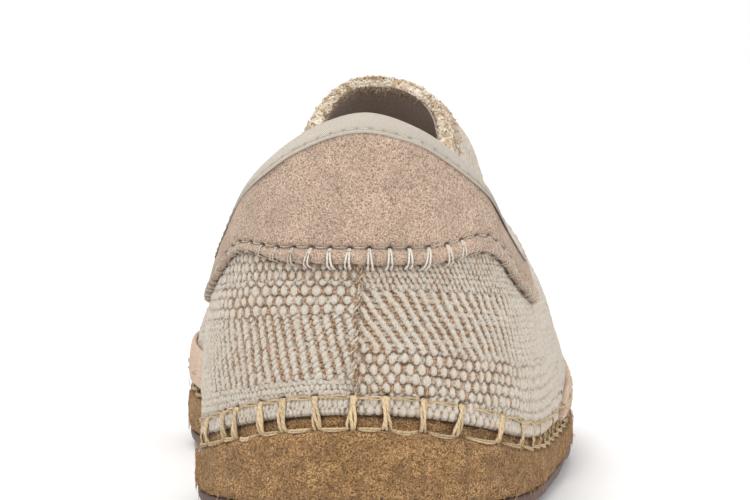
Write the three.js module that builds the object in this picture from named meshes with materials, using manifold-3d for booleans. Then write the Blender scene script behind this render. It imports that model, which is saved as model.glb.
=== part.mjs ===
// A slip-on sneaker for the right foot: woven upper, suede heel patch and toe band, jute platform, rubber outsole.
// Millimetres. +Y points to the toe, +X to the outer side, +Z up. The sole rests on Z = 0.
import * as THREE from "three";
import { mergeVertices } from "three/addons/utils/BufferGeometryUtils.js";
import Module from "manifold-3d";

const wasm = await Module();
wasm.setup();

// Driving dimensions
const WALL = 2.2;
const GAP = 0.3;
const SOLE_LEDGE = 1.4;
const OUTSOLE_THICK = 4.6;
const STRIP_HEIGHT = 3.6;
const STRIP_INSET = 1.1;
const STRIP_ROUND = 0.6;
const INSOLE_THICK = 4.2;
const SUEDE = 1.2;
const LIP_THICK = 2.3;
const LIP_HEIGHT = 3.3;
const LIP_ROUND = 0.6;
const GUARD_HEIGHT = 8.8;
const BINDING_HEIGHT = 4.5;
const BINDING_THICK = 0.8;
const FOLD_GAP = 1.2;
const INNER_FOLD_GAP = 1.2;
const EDGE_GAP = 1.5;
const FRINGE_HEIGHT = 3.2;
const FRINGE_THICK = 1.3;
const FRINGE_TUCK = 0.4;
const LOCK_DEPTH = 0.9;
const SEAM_WIDTH = 1.6;
const SEAM_THICK = 0.9;
const GROOVE_DEPTH = 1.4;
const GROOVE_WIDTH = 2.6;
const GROOVE_PITCH = 13;
const RIM_WIDTH = WALL + 1.2;
const RIM_DRAFT = 0.8;
const EDGE_ROUND = 1;

// Rounded front corner of the suede patch
const CORNER_REACH = 0.35;
const CORNER_RISE = 60;

// How the toe band starts and how it grows towards the toe
const GUARD_LOW = 0.8;
const GUARD_RAMP = 0.8;
const GUARD_RISE_FROM = 10;
const GUARD_RISE = 1.1;

// Places along the shoe as fractions between the stations below
const PATCH_END = 4 + 1 / 3;
const BINDING_END = 4 + 2 / 3;
const FRINGE_START = BINDING_END + 0.04;
const GUARD_START = 5 + 2 / 3;

// The heel's middle line and back, and the part's origin under the middle of its outline
const ORIGIN_ALONG = 143.12;
const ORIGIN_SIDE = -7.74;

// How finely the surfaces are cut into flat faces
const HEEL_STEPS = 3;
const FRONT_STEPS = 3;
const FRONT_FROM = 5;
const LIFT_STEPS = 12;
const CUT_STEPS = 6;

// Stations from the back of the heel to the toe. "along" is the distance from the back of the heel, "medial" and
// "lateral" are the two sides of the upper's lower edge, "edge" its height, and "collar" the height where the
// opening cuts it.
const OUTLINE = [
  { along: 0, medial: 0, lateral: 0, edge: 26.2, collar: 94.8 },
  { along: 4, medial: -15.6, lateral: 15.6, edge: 25.2, collar: 90.2 },
  { along: 14, medial: -28.8, lateral: 28.4, edge: 22.2, collar: 79.6 },
  { along: 31, medial: -37.6, lateral: 36.6, edge: 18.6, collar: 66 },
  { along: 54, medial: -40.4, lateral: 40, edge: 16.4, collar: 60.8 },
  { along: 84, medial: -38.8, lateral: 41.8, edge: 15.6, collar: 79.5 },
  { along: 116, medial: -39, lateral: 43.6, edge: 15.5, collar: 100.4 },
  { along: 148, medial: -46.4, lateral: 44.2, edge: 16.4, collar: 124 },
  { along: 178, medial: -56, lateral: 42.8, edge: 18.2, collar: 140 },
  { along: 206, medial: -59.6, lateral: 39.6, edge: 20, collar: 140 },
  { along: 232, medial: -57.4, lateral: 34.4, edge: 22, collar: 140 },
  { along: 255, medial: -50.8, lateral: 26.2, edge: 24.6, collar: 140 },
  { along: 272, medial: -41.4, lateral: 16, edge: 27, collar: 140 },
  { along: 283, medial: -29.4, lateral: 4.2, edge: 28.8, collar: 140 },
  { along: 288, medial: -12.7, lateral: -12.7, edge: 29.6, collar: 140 },
];

// The wall above each of them. "ridge" is the place where the section reaches the top, "full" its squareness, "draw"
// how hard it is drawn in above, and "bulge" how far the wall swells out.
const SECTIONS = [
  { ridge: 31, full: 3.6, draw: 0.5, bulge: 1.6 },
  { ridge: 32, full: 3.4, draw: 0.55, bulge: 1.5 },
  { ridge: 36, full: 2.9, draw: 0.7, bulge: 1.3 },
  { ridge: 44, full: 2.6, draw: 1.2, bulge: 1.2 },
  { ridge: 60, full: 2.6, draw: 1.4, bulge: 1 },
  { ridge: 86, full: 2, draw: 1.05, bulge: 0.8 },
  { ridge: 116, full: 1.5, draw: 0.5, bulge: 1.1 },
  { ridge: 146, full: 1.35, draw: 0.5, bulge: 1.3 },
  { ridge: 173, full: 1.55, draw: 0.5, bulge: 1.2 },
  { ridge: 198, full: 2, draw: 0.5, bulge: 1 },
  { ridge: 220, full: 2.2, draw: 0.5, bulge: 1 },
  { ridge: 237, full: 2.4, draw: 0.5, bulge: 1 },
  { ridge: 247, full: 2.6, draw: 0.5, bulge: 1 },
  { ridge: 252, full: 2.7, draw: 0.5, bulge: 1 },
  { ridge: 253, full: 2.7, draw: 0.5, bulge: 1 },
];

// The top of the heel leans to the outer side, and the outer wall is drawn in under the opening
const HEEL_LEAN = { most: 2.4, from: 1.8, to: 5.2 };
const DRAWN_IN = { most: 6.1, at: 6.1, reach: 1.9, level: 0.65, band: 0.16 };

const STATIONS = OUTLINE.map((row, k) => ({ ...row, ...SECTIONS[k] }));

// Lower edge of the suede behind the heel, at the same stations
const PATCH_EDGE = [60.6, 60.8, 62.8, 54.2, 48.5, 48.5];

// Top line of the closed last, seen from the side, and how far it leans to the inner side
const RIDGE = [
  { along: 0, height: 119, lean: 0 },
  { along: 60, height: 115.5, lean: -1.2 },
  { along: 90, height: 109.5, lean: -3 },
  { along: 118, height: 101.2, lean: -4.4 },
  { along: 146, height: 89, lean: -5.6 },
  { along: 176, height: 74, lean: -7.2 },
  { along: 204, height: 63.5, lean: -9 },
  { along: 232, height: 57, lean: -12 },
  { along: 256, height: 52, lean: -13 },
  { along: 290, height: 45.5, lean: -13 },
];

// Underside of the sole: flat under heel and ball, a low arch between them, and the toe spring
const UNDERSIDE = [
  { along: 0, height: 1.4 },
  { along: 9, height: 0 },
  { along: 96, height: 0 },
  { along: 122, height: 1.6 },
  { along: 150, height: 0 },
  { along: 202, height: 0 },
  { along: 218, height: 1.2 },
  { along: 234, height: 3.4 },
  { along: 256, height: 7.2 },
  { along: 274, height: 10.6 },
  { along: 288, height: 13.4 },
];

// Top of the platform inside its rim
const BED = [
  { along: 0, height: 15.4 },
  { along: 60, height: 14.2 },
  { along: 120, height: 12 },
  { along: 190, height: 10 },
  { along: 232, height: 12.4 },
  { along: 288, height: 21 },
];

// Smooth curve through a table's rows that never swings past them
function curve(table, column, along) {
  const last = table.length - 1;
  if (along <= table[0].along) return table[0][column];
  if (along >= table[last].along) return table[last][column];
  let i = 0;
  while (table[i + 1].along < along) i += 1;
  const slope = (k) => (table[k + 1][column] - table[k][column]) / (table[k + 1].along - table[k].along);
  const bend = (k) => {
    if (k === 0 || k === last) return slope(Math.min(k, last - 1));
    const before = slope(k - 1);
    const after = slope(k);
    return before * after <= 0 ? 0 : (2 * before * after) / (before + after);
  };
  const span = table[i + 1].along - table[i].along;
  const t = (along - table[i].along) / span;
  const rise = table[i + 1][column] - table[i][column];
  const start = bend(i) * span;
  const end = bend(i + 1) * span;
  return table[i][column] + t * (start + t * (3 * rise - 2 * start - end + t * (start + end - 2 * rise)));
}

const LAST_ROW = STATIONS.length - 1;
const OTHER = { medial: "lateral", lateral: "medial" };

// Smooth value at a fraction between evenly spaced rows
function between(row, w, lastRow) {
  const i = Math.min(Math.floor(w), lastRow - 1);
  const t = w - i;
  const [a, b, c, d] = [row(i - 1), row(i), row(i + 1), row(i + 2)];
  return b + 0.5 * t * (c - a + t * (2 * a - 5 * b + 4 * c - d + t * (3 * (b - c) + d - a)));
}

// A station column at a fraction between rows. Past either end the shoe continues on its other side.
function station(column, w) {
  const row = (k) => {
    if (k >= 0 && k <= LAST_ROW) return STATIONS[k][column];
    const mirrored = k < 0 ? -k : 2 * LAST_ROW - k;
    return STATIONS[mirrored][OTHER[column] ?? column];
  };
  return between(row, w, LAST_ROW);
}

const patchEdge = (w) => between((k) => PATCH_EDGE[Math.abs(k)], w, PATCH_EDGE.length - 2);

const along = (w) => station("along", w);

// How far the wall stands to the outer side of its plain section
function aside(side, w, upward) {
  const past = Math.min(1, Math.max(0, (w - HEEL_LEAN.from) / (HEEL_LEAN.to - HEEL_LEAN.from)));
  const lean = HEEL_LEAN.most * upward * (1 - past * past * (3 - 2 * past));
  if (side === "medial") return lean;
  const { most, at, reach, level, band } = DRAWN_IN;
  const drawn = most * Math.sin(Math.PI * upward);
  return lean - drawn * Math.exp(-(((w - at) / reach) ** 2) - ((upward - level) / band) ** 2);
}

// Point on the closed last: w runs from heel to toe, lift from the lower edge (0) to the ridge (1)
function lastPoint(side, w, lift) {
  if (w < 0) return lastPoint(OTHER[side], -w, lift);
  if (w > LAST_ROW) return lastPoint(OTHER[side], 2 * LAST_ROW - w, lift);
  if (lift > 1) return lastPoint(OTHER[side], w, 2 - lift);
  const foot = new THREE.Vector2(station(side, w), station("along", w));
  const ridge = station("ridge", w);
  const inward = new THREE.Vector2(curve(RIDGE, "lean", ridge), ridge).sub(foot);
  const full = station("full", w);
  const upward = Math.sin((lift * Math.PI) / 2);
  const reach = 1 - Math.max(0, 1 - upward ** full) ** station("draw", w);
  const swell = (station("bulge", w) * Math.sin(Math.PI * upward)) / inward.length();
  const plan = foot.addScaledVector(inward, reach - swell);
  const edge = station("edge", w);
  const height = edge + (curve(RIDGE, "height", plan.y) - edge) * upward;
  return new THREE.Vector3(plan.x + aside(side, w, upward), plan.y, height);
}

// The same point moved out (or in, below zero) along the surface's normal
function skinPoint(side, w, lift, grow) {
  const point = lastPoint(side, w, lift);
  const near = Math.min(Math.max(lift, 0.02), 0.97);
  const alongStep = lastPoint(side, w + 0.02, near).sub(lastPoint(side, w - 0.02, near));
  const upStep = lastPoint(side, w, near + 0.01).sub(lastPoint(side, w, near - 0.01));
  const normal = side === "medial" ? upStep.cross(alongStep) : alongStep.cross(upStep);
  if (lift > 0.985) {
    const fall = curve(RIDGE, "height", point.y + 1) - curve(RIDGE, "height", point.y - 1);
    normal.set(0, -fall / 2, 1);
  }
  return point.addScaledVector(normal.normalize(), grow);
}

// Where the surfaces have their columns of corners, closer together round the heel
function columnsAt(heelSteps, frontSteps) {
  const places = [];
  for (let i = 0; i < FRONT_FROM * heelSteps; i += 1) places.push(i / heelSteps);
  for (let i = 0; i <= (LAST_ROW - FRONT_FROM) * frontSteps; i += 1) places.push(FRONT_FROM + i / frontSteps);
  return places;
}

const COLUMNS = columnsAt(HEEL_STEPS, FRONT_STEPS);
const CUT_COLUMNS = columnsAt(CUT_STEPS, CUT_STEPS);

// Walks once round the shoe: up the medial side to the toe and back down the lateral side
function ring(pointAt, columns = COLUMNS) {
  const there = columns.map((w) => pointAt("medial", w));
  const back = columns.slice(1, -1).reverse().map((w) => pointAt("lateral", w));
  return [...there, ...back];
}

// Closed body from rings stacked upwards, with the two sides bridged at the bottom and, if asked, at the top
function stack(rings, closeTop) {
  const around = rings[0].length;
  const corners = [];
  const face = (a, b, c) => corners.push(...a.toArray(), ...b.toArray(), ...c.toArray());
  for (let r = 0; r + 1 < rings.length; r += 1) {
    const [low, high] = [rings[r], rings[r + 1]];
    for (let i = 0; i < around; i += 1) {
      const j = (i + 1) % around;
      face(low[i], high[i], high[j]);
      face(low[i], high[j], low[j]);
    }
  }
  const bridge = (points, facesUp) => {
    const half = around / 2;
    const across = (i) => points[(around - i) % around];
    for (let i = 0; i < half; i += 1) {
      const [a, b, c, d] = [points[i], points[i + 1], across(i + 1), across(i)];
      if (facesUp) {
        face(a, c, b);
        face(a, d, c);
      } else {
        face(a, b, c);
        face(a, c, d);
      }
    }
  };
  bridge(rings[0], false);
  if (closeTop) bridge(rings[rings.length - 1], true);
  return toSolid(new THREE.BufferGeometry().setAttribute("position", new THREE.Float32BufferAttribute(corners, 3)));
}

// Closed mesh to a solid that can be cut and joined. Triangles that close to a line are left out.
function toSolid(geometry) {
  const bare = geometry.index ? geometry.toNonIndexed() : geometry.clone();
  bare.deleteAttribute("normal");
  bare.deleteAttribute("uv");
  const merged = mergeVertices(bare, 1e-4);
  const kept = [];
  const index = merged.index.array;
  for (let i = 0; i < index.length; i += 3) {
    const [a, b, c] = [index[i], index[i + 1], index[i + 2]];
    if (a !== b && b !== c && c !== a) kept.push(a, b, c);
  }
  const vertProperties = new Float32Array(merged.attributes.position.array);
  return new wasm.Manifold(new wasm.Mesh({ numProp: 3, vertProperties, triVerts: new Uint32Array(kept) }));
}

// The closed last, grown by some millimetres, reaching below its lower edge by "drop". No ring lies on the edge
// itself, where the cutters' faces are.
function form(grow, drop) {
  const foot = (below) => ring((side, w) => skinPoint(side, w, 0, grow).setZ(station("edge", w) - below));
  const rings = [foot(drop), foot(drop / 8)];
  for (let k = 1; k <= LIFT_STEPS; k += 1) rings.push(ring((side, w) => skinPoint(side, w, k / LIFT_STEPS, grow)));
  return stack(rings, false);
}

// Point at a real height on the last grown by some millimetres
function skinAt(side, w, height, grow) {
  const edge = station("edge", w);
  let lift = 0.5;
  for (let pass = 0; pass < 12; pass += 1) {
    const point = skinPoint(side, w, lift, grow);
    const upward = Math.sin((lift * Math.PI) / 2);
    const slope = (point.z - edge) / upward;
    const wanted = Math.min(0.999, Math.max(0.002, upward + (height - point.z) / slope));
    lift = (2 / Math.PI) * Math.asin(wanted);
  }
  return skinPoint(side, w, lift, grow).setZ(height);
}

// Places from one side round the back of the heel, or round the toe, to the same place on the other side
function path(first, second, inRange) {
  const columns = COLUMNS.filter(inRange);
  const one = columns.map((w) => ({ side: first, w }));
  const other = columns.map((w) => ({ side: second, w }));
  return { one, other };
}

function roundHeel(end) {
  const { one, other } = path("medial", "lateral", (w) => w <= end + 1e-6);
  return [...one.reverse(), ...other.slice(1)];
}

function roundToe(start) {
  const { one, other } = path("lateral", "medial", (w) => w >= start - 1e-6);
  return [...one.slice(0, -1), ...other.reverse()];
}

// Strip laid on the last: a closed profile of heights and thicknesses, carried along a path and capped at its ends
function strip(places, profileAt) {
  const columns = places.map((place) => profileAt(place));
  const points = columns.map((column, k) => column.map(([height, grow]) => {
    const { side, w } = places[k];
    return skinAt(side, w, height, grow);
  }));
  const corners = [];
  const face = (a, b, c) => corners.push(...a.toArray(), ...b.toArray(), ...c.toArray());
  const around = points[0].length;
  for (let k = 0; k + 1 < points.length; k += 1) {
    for (let i = 0; i < around; i += 1) {
      const j = (i + 1) % around;
      face(points[k][i], points[k + 1][i], points[k + 1][j]);
      face(points[k][i], points[k + 1][j], points[k][j]);
    }
  }
  for (const k of [0, points.length - 1]) {
    const flat = columns[k].map(([height, grow]) => new THREE.Vector2(grow, height));
    for (const [a, b, c] of THREE.ShapeUtils.triangulateShape(flat, [])) {
      if (k === 0) face(points[k][a], points[k][b], points[k][c]);
      else face(points[k][a], points[k][c], points[k][b]);
    }
  }
  return toSolid(new THREE.BufferGeometry().setAttribute("position", new THREE.Float32BufferAttribute(corners, 3)));
}

// Everything above a line round the shoe, whose height is given for each station
function above(heightAt) {
  const wide = 10;
  const sky = 160;
  const middle = ring((side, w) => {
    const ridge = station("ridge", w);
    return new THREE.Vector3(curve(RIDGE, "lean", ridge), ridge, heightAt(w));
  }, CUT_COLUMNS);
  const low = soleRing(wide, (along, w) => heightAt(w), CUT_COLUMNS);
  const moves = ring((side, w) => {
    const edge = station("edge", w);
    const upward = (heightAt(w) - edge) / (curve(RIDGE, "height", station("ridge", w)) - edge);
    return new THREE.Vector3(aside(side, w, Math.min(1, Math.max(0, upward))), 0, 0);
  }, CUT_COLUMNS);
  for (const line of [middle, low]) line.forEach((point, k) => point.add(moves[k]));
  return stack([middle, low, soleRing(wide, () => sky, CUT_COLUMNS)], true);
}

// Everything under the line where the upper ends, parallel to the platform's rim
function underUpper() {
  const wide = 8;
  const edge = (along, w) => station("edge", w);
  return stack([soleRing(wide, () => -30), soleRing(wide, edge), soleRing(-RIM_WIDTH - 4, edge)], true);
}

const collar = (w) => station("collar", w);

// The woven edge lies just under the tape's fold, and lower in front, where the frayed rim stands on it
function wovenEdge(w) {
  const lowered = Math.min(1, Math.max(0, (w - BINDING_END) * CUT_STEPS + 1));
  return collar(w) - EDGE_GAP - BINDING_THICK - lowered * (FRINGE_HEIGHT - BINDING_THICK);
}

function makeUpper() {
  return form(0, 6).subtract(form(-WALL, 25)).subtract(above(wovenEdge)).subtract(underUpper());
}

// Suede patch round the heel, its lower edge rolled into a lip and its front corner rounded up to the collar
function makeHeelPatch() {
  const corner = (w) => Math.max(0, w - PATCH_END + CORNER_REACH) ** 2 * CORNER_RISE;
  return strip(roundHeel(PATCH_END), ({ w }) => {
    const low = patchEdge(w) + corner(w);
    const high = collar(w) - BINDING_THICK - 2 * GAP;
    const lip = Math.min(low + LIP_HEIGHT, high - 2);
    const top = GAP + SUEDE;
    const thick = GAP + LIP_THICK;
    const rise = (part) => lip + EDGE_ROUND + (high - lip - EDGE_ROUND) * part;
    const round = LIP_ROUND;
    const roll = [[low, thick - round], [low + round, thick], [lip - round, thick], [lip, thick - round]];
    const outer = [...roll, [lip + round, top]];
    const inner = [[rise(0.6), GAP], [rise(0.2), GAP], [low, GAP]];
    return [...outer, [rise(0.2), top], [rise(0.6), top], [high, top], [high, GAP], ...inner];
  });
}

// Twill tape folded over the collar's edge round the heel
function makeBinding() {
  const hollow = GAP + SUEDE + FOLD_GAP;
  const outside = hollow + BINDING_THICK;
  const inside = -WALL - INNER_FOLD_GAP;
  return strip(roundHeel(BINDING_END), ({ w }) => {
    const top = collar(w);
    const hem = top - BINDING_HEIGHT;
    const fold = top - BINDING_THICK;
    return [
      [hem, outside], [fold, outside], [top, outside - BINDING_THICK],
      [top, inside], [fold, inside - BINDING_THICK], [hem, inside - BINDING_THICK],
      [hem, inside], [fold, inside], [fold, hollow], [hem, hollow],
    ];
  });
}

// Frayed rim over the instep, with short locks along its top
function makeFringe() {
  const lock = (w) => LOCK_DEPTH * (Math.round(w * CUT_STEPS) % 2);
  const long = 100;
  const front = new THREE.BoxGeometry(200, long, 400).translate(0, along(FRINGE_START) + long / 2, 0);
  const rim = form(FRINGE_THICK, 6).subtract(form(-WALL - FRINGE_TUCK, 30)).intersect(toSolid(front));
  return rim.intersect(above((w) => wovenEdge(w) + GAP)).subtract(above((w) => collar(w) + lock(w)));
}

// Suede band round the forefoot, low on the sides and higher at the toe
function makeToeGuard() {
  return strip(roundToe(GUARD_START), ({ w }) => {
    const rise = Math.sin((Math.min(1, (w - GUARD_START) / GUARD_RAMP) * Math.PI) / 2);
    const tall = GUARD_LOW + GUARD_HEIGHT * rise + Math.max(0, w - GUARD_RISE_FROM) * GUARD_RISE;
    const rows = [0, 0.2, 0.4, 0.6, 0.8, 1].map((part) => station("edge", w) + tall * part);
    const outer = rows.map((height) => [height, GAP + SUEDE]);
    const inner = rows.reverse().map((height) => [height, GAP]);
    return [...outer, ...inner];
  });
}

// Covered seam up the middle of the heel
function makeBackSeam() {
  const low = STATIONS[0].edge + 1;
  const high = PATCH_EDGE[0] - 1;
  const half = SEAM_WIDTH / 2 / STATIONS[1].lateral;
  const across = [{ side: "medial", w: half }, { side: "medial", w: 0 }, { side: "lateral", w: half }];
  return strip(across, () => {
    const rows = [0, 0.25, 0.5, 0.75, 1].map((part) => low + (high - low) * part);
    const outer = rows.map((height) => [height, GAP + SEAM_THICK]);
    const inner = rows.reverse().map((height) => [height, GAP]);
    return [...outer, ...inner];
  });
}

// One level of the sole: the upper's outline moved out in plan, at a height worked out from the distance along
function soleRing(outward, heightAt, columns = COLUMNS) {
  return ring((side, w) => {
    const before = new THREE.Vector2(...planOf(side, w - 0.02));
    const after = new THREE.Vector2(...planOf(side, w + 0.02));
    const run = after.sub(before).normalize();
    const turn = side === "medial" ? 1 : -1;
    const [x, y] = planOf(side, w);
    const px = x - run.y * outward * turn;
    const py = y + run.x * outward * turn;
    return new THREE.Vector3(px, py, heightAt(along(w), w));
  }, columns);
}

function planOf(side, w) {
  if (w < 0) return planOf(OTHER[side], -w);
  if (w > LAST_ROW) return planOf(OTHER[side], 2 * LAST_ROW - w);
  return [station(side, w), station("along", w)];
}

const underside = (along) => curve(UNDERSIDE, "height", along);
const bed = (along) => curve(BED, "height", along);
const rimAt = (along, w) => station("edge", w) - GAP;

// Rubber outsole: rolled lower edge, flat at heel and ball, with grooves between its lugs
function makeOutsole() {
  const levels = [
    { outward: SOLE_LEDGE - 5.4, up: 0 },
    { outward: SOLE_LEDGE - 1.8, up: 1.3 },
    { outward: SOLE_LEDGE - 0.3, up: 3.2 },
    { outward: SOLE_LEDGE - 0.1, up: OUTSOLE_THICK },
  ];
  let body = stack(levels.map(({ outward, up }) => soleRing(outward, (along) => underside(along) + up)), true);
  const groove = (along) => {
    const cut = new THREE.BoxGeometry(200, GROOVE_WIDTH, GROOVE_DEPTH * 2).translate(0, along, underside(along));
    return toSolid(cut);
  };
  const runs = [{ from: 20, to: 86 }, { from: 150, to: 256 }];
  for (const { from, to } of runs) {
    for (let along = from; along <= to; along += GROOVE_PITCH) body = body.subtract(groove(along));
  }
  return body;
}

// Jute platform: straight sides, a recessed strip under the upper's edge, and a bed inside the rim
function makeMidsole() {
  const floor = (along) => underside(along) + OUTSOLE_THICK + GAP;
  const levels = [
    { outward: SOLE_LEDGE - EDGE_ROUND, heightAt: floor },
    { outward: SOLE_LEDGE, heightAt: (along) => floor(along) + EDGE_ROUND },
    { outward: SOLE_LEDGE, heightAt: (along, w) => rimAt(along, w) - STRIP_HEIGHT - STRIP_ROUND },
    { outward: SOLE_LEDGE - STRIP_INSET, heightAt: (along, w) => rimAt(along, w) - STRIP_HEIGHT },
    { outward: SOLE_LEDGE - STRIP_INSET, heightAt: rimAt },
    { outward: -RIM_WIDTH, heightAt: rimAt },
    { outward: -RIM_WIDTH - RIM_DRAFT, heightAt: bed },
  ];
  return stack(levels.map(({ outward, heightAt }) => soleRing(outward, heightAt)), true);
}

function makeInsole() {
  const inset = -(RIM_WIDTH + RIM_DRAFT + GAP);
  const levels = [
    { outward: inset, up: GAP },
    { outward: inset, up: GAP + INSOLE_THICK - EDGE_ROUND },
    { outward: inset - EDGE_ROUND, up: GAP + INSOLE_THICK },
  ];
  return stack(levels.map(({ outward, up }) => soleRing(outward, (along) => bed(along) + up)), true);
}

const FINISH = {
  textile: { color: 0xd6c9b4, roughness: 0.95 },
  suede: { color: 0xd9bea8, roughness: 0.95 },
  tape: { color: 0xded5c8, roughness: 0.9 },
  fringe: { color: 0xc9ad86, roughness: 1 },
  seam: { color: 0xb58d5e, roughness: 1 },
  jute: { color: 0xb28c62, roughness: 1 },
  rubber: { color: 0x6e5a52, roughness: 0.8 },
  lining: { color: 0x70645c, roughness: 0.95 },
};

const PIECES = [
  { name: "outsole", make: makeOutsole, finish: "rubber" },
  { name: "midsole", make: makeMidsole, finish: "jute" },
  { name: "insole", make: makeInsole, finish: "lining" },
  { name: "upper", make: makeUpper, finish: "textile" },
  { name: "heel_patch", make: makeHeelPatch, finish: "suede" },
  { name: "collar_binding", make: makeBinding, finish: "tape" },
  { name: "throat_fringe", make: makeFringe, finish: "fringe" },
  { name: "toe_guard", make: makeToeGuard, finish: "suede" },
  { name: "back_seam", make: makeBackSeam, finish: "seam" },
];

const shoe = new THREE.Group();
for (const { name, make, finish } of PIECES) {
  const { vertProperties, triVerts } = make().getMesh();
  const geometry = new THREE.BufferGeometry();
  geometry.setAttribute("position", new THREE.Float32BufferAttribute(vertProperties, 3));
  geometry.setIndex(new THREE.Uint32BufferAttribute(triVerts, 1));
  geometry.translate(-ORIGIN_SIDE, -ORIGIN_ALONG, 0);
  geometry.computeVertexNormals();
  const { color, roughness } = FINISH[finish];
  const mesh = new THREE.Mesh(geometry, new THREE.MeshStandardMaterial({ color, roughness, metalness: 0 }));
  mesh.name = name;
  shoe.add(mesh);
}

export default shoe;
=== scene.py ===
import math

import bpy
import numpy as np
from bpy.props import FloatProperty, FloatVectorProperty, IntProperty, PointerProperty
from bpy.types import Operator, Panel, PropertyGroup
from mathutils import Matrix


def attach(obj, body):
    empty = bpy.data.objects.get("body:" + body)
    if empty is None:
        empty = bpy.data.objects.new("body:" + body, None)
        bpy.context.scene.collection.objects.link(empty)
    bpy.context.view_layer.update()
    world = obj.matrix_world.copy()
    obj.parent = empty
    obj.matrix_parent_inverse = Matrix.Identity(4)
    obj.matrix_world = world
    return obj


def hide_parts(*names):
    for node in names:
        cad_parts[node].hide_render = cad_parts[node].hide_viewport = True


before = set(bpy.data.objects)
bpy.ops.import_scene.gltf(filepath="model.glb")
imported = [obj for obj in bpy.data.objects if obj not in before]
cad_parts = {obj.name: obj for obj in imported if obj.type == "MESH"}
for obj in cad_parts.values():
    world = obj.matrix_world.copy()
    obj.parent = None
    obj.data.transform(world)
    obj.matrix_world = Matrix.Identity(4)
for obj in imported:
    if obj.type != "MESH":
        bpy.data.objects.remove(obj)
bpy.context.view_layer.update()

bl_info = {
    "name": "Slip-on with a woven upper and a jute sole",
    "version": (1, 0, 0),
    "blender": (4, 5, 0),
    "location": "View3D > Sidebar > Slip-on",
    "description": "Dresses the packed slip-on with cloth, suede, yarn and jute",
    "category": "Add Mesh",
}

MM = 0.001
ORIGIN_ALONG = 143.12
ORIGIN_SIDE = -7.74
WALL = 2.2
LEDGE = 1.4
OUTSOLE_THICK = 4.6
STRIP_HEIGHT = 3.6
STRIP_INSET = 1.95
GAP = 0.3
LIP_HEIGHT = 3.3
PATCH_END = 4 + 1 / 3
TAPE_END = 4 + 2 / 3
FRINGE_HEIGHT = 3.2
BAND_START = 5 + 2 / 3
BAND_HEIGHT = 8.8
BAND_LOW = 0.8
BAND_RAMP = 0.8
BAND_RISE_FROM = 10
BAND_RISE = 1.1
BAND_DROP = 0.45
CORNER_REACH = 0.35
CORNER_RISE = 60
GROOVE_RUNS = ((20, 86), (150, 256))
GROOVE_PITCH = 13
GROOVE_WIDTH = 2.6
GROOVE_DEPTH = 1.4
CLOTH_THICK = 1.9
CLOTH_SINK = 0.15
HEM_DROP = 0.35
LINING_DROP = 8
SEAM_LOW = 26.8
HOLE_PITCH = 4.35
TAPE_STITCH_PITCH = 3.1
BLANKET_PITCH = 12
BLANKET_ABOVE = 3.9
BLANKET_BELOW = 3.5
BAR_OVER_BAND = 1.1
LENS = 200.64
EYE = (0.07834, -1.09052, 0.112)
EYE_DOWN = 2.917
EYE_TURN = 4
AIM_OF_LAMPS = (0.0, -0.08, 0.05)

# How fine the grids are: spacing along the shoe's outline or the rim in mm, or numbers of rows and columns
HEEL_CLOTH_STEP, HEEL_CLOTH_ROWS = 0.33, 140
SIDE_COLUMNS, SIDE_ROWS = 170, 150
VAMP_ROWS, VAMP_COLUMNS, VAMP_TOE_COLUMNS = 221, 212, 44
LINING_COLUMNS, LINING_ROWS = 241, 34
LINING_FRONT_ROWS, LINING_FRONT_COLUMNS = 91, 110
SOCK_STEP, PATCH_STEP, TAPE_STEP, RIM_STEP, PLATFORM_STEP, OUTSOLE_STEP = 3.0, 0.5, 0.45, 0.35, 1.0, 0.65
PATCH_ROWS, PLATFORM_ROWS = 68, 16
# Points along each kind of strand, and how many there are of those whose number isn't a setting
RUN_POINTS, BAR_POINTS, SEAM_POINTS, THREAD_POINTS, LOOP_POINTS = 11, 13, 120, 9, 6
RIM_SIDE_LOOPS, RIM_HAIRS, CORD_HAIRS = 1400, 130, 1300
LOOP_TAPER = np.array([0.7, 1.0, 1.05, 1.05, 1.0, 0.7])
# Seeds of the random draws and of the weave's variation
SEED_RIM, SEED_BLANKET, SEED_SEAM, SEED_FIBRES = 7, 11, 23, 31
WEAVE_SEED_MEDIAL, WEAVE_SEED_LATERAL, WEAVE_SEED_HEM, WEAVE_SEED_VAMP = 0, 40, 70, 90
# Ramps: where they start and over how much, in mm round the heel or in stations
HEEL_SIDES_FROM, HEEL_SIDES_OVER = 14, 12
FORWARD_FROM, FORWARD_OVER = 44, 14
TAPE_NARROW_FROM, TAPE_NARROW_OVER, TAPE_NARROW_BY = 1.3, 1.7, 0.68
TAPE_FLUSH_FROM, TAPE_FLUSH_OVER = 1.5, 1.5
# Steps over which directions are taken, and rounds in which a height is found on the skin
STEP_T, STEP_LIFT, SKIN_ROUNDS = 0.02, 0.01, 7

# Stations from heel to toe: along, medial, lateral, edge, collar
OUTLINE = (
    (0, 0, 0, 26.2, 94.8),
    (4, -15.6, 15.6, 25.2, 90.2),
    (14, -28.8, 28.4, 22.2, 79.6),
    (31, -37.6, 36.6, 18.6, 66),
    (54, -40.4, 40, 16.4, 60.8),
    (84, -38.8, 41.8, 15.6, 79.5),
    (116, -39, 43.6, 15.5, 100.4),
    (148, -46.4, 44.2, 16.4, 124),
    (178, -56, 42.8, 18.2, 140),
    (206, -59.6, 39.6, 20, 140),
    (232, -57.4, 34.4, 22, 140),
    (255, -50.8, 26.2, 24.6, 140),
    (272, -41.4, 16, 27, 140),
    (283, -29.4, 4.2, 28.8, 140),
    (288, -12.7, -12.7, 29.6, 140),
)
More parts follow.
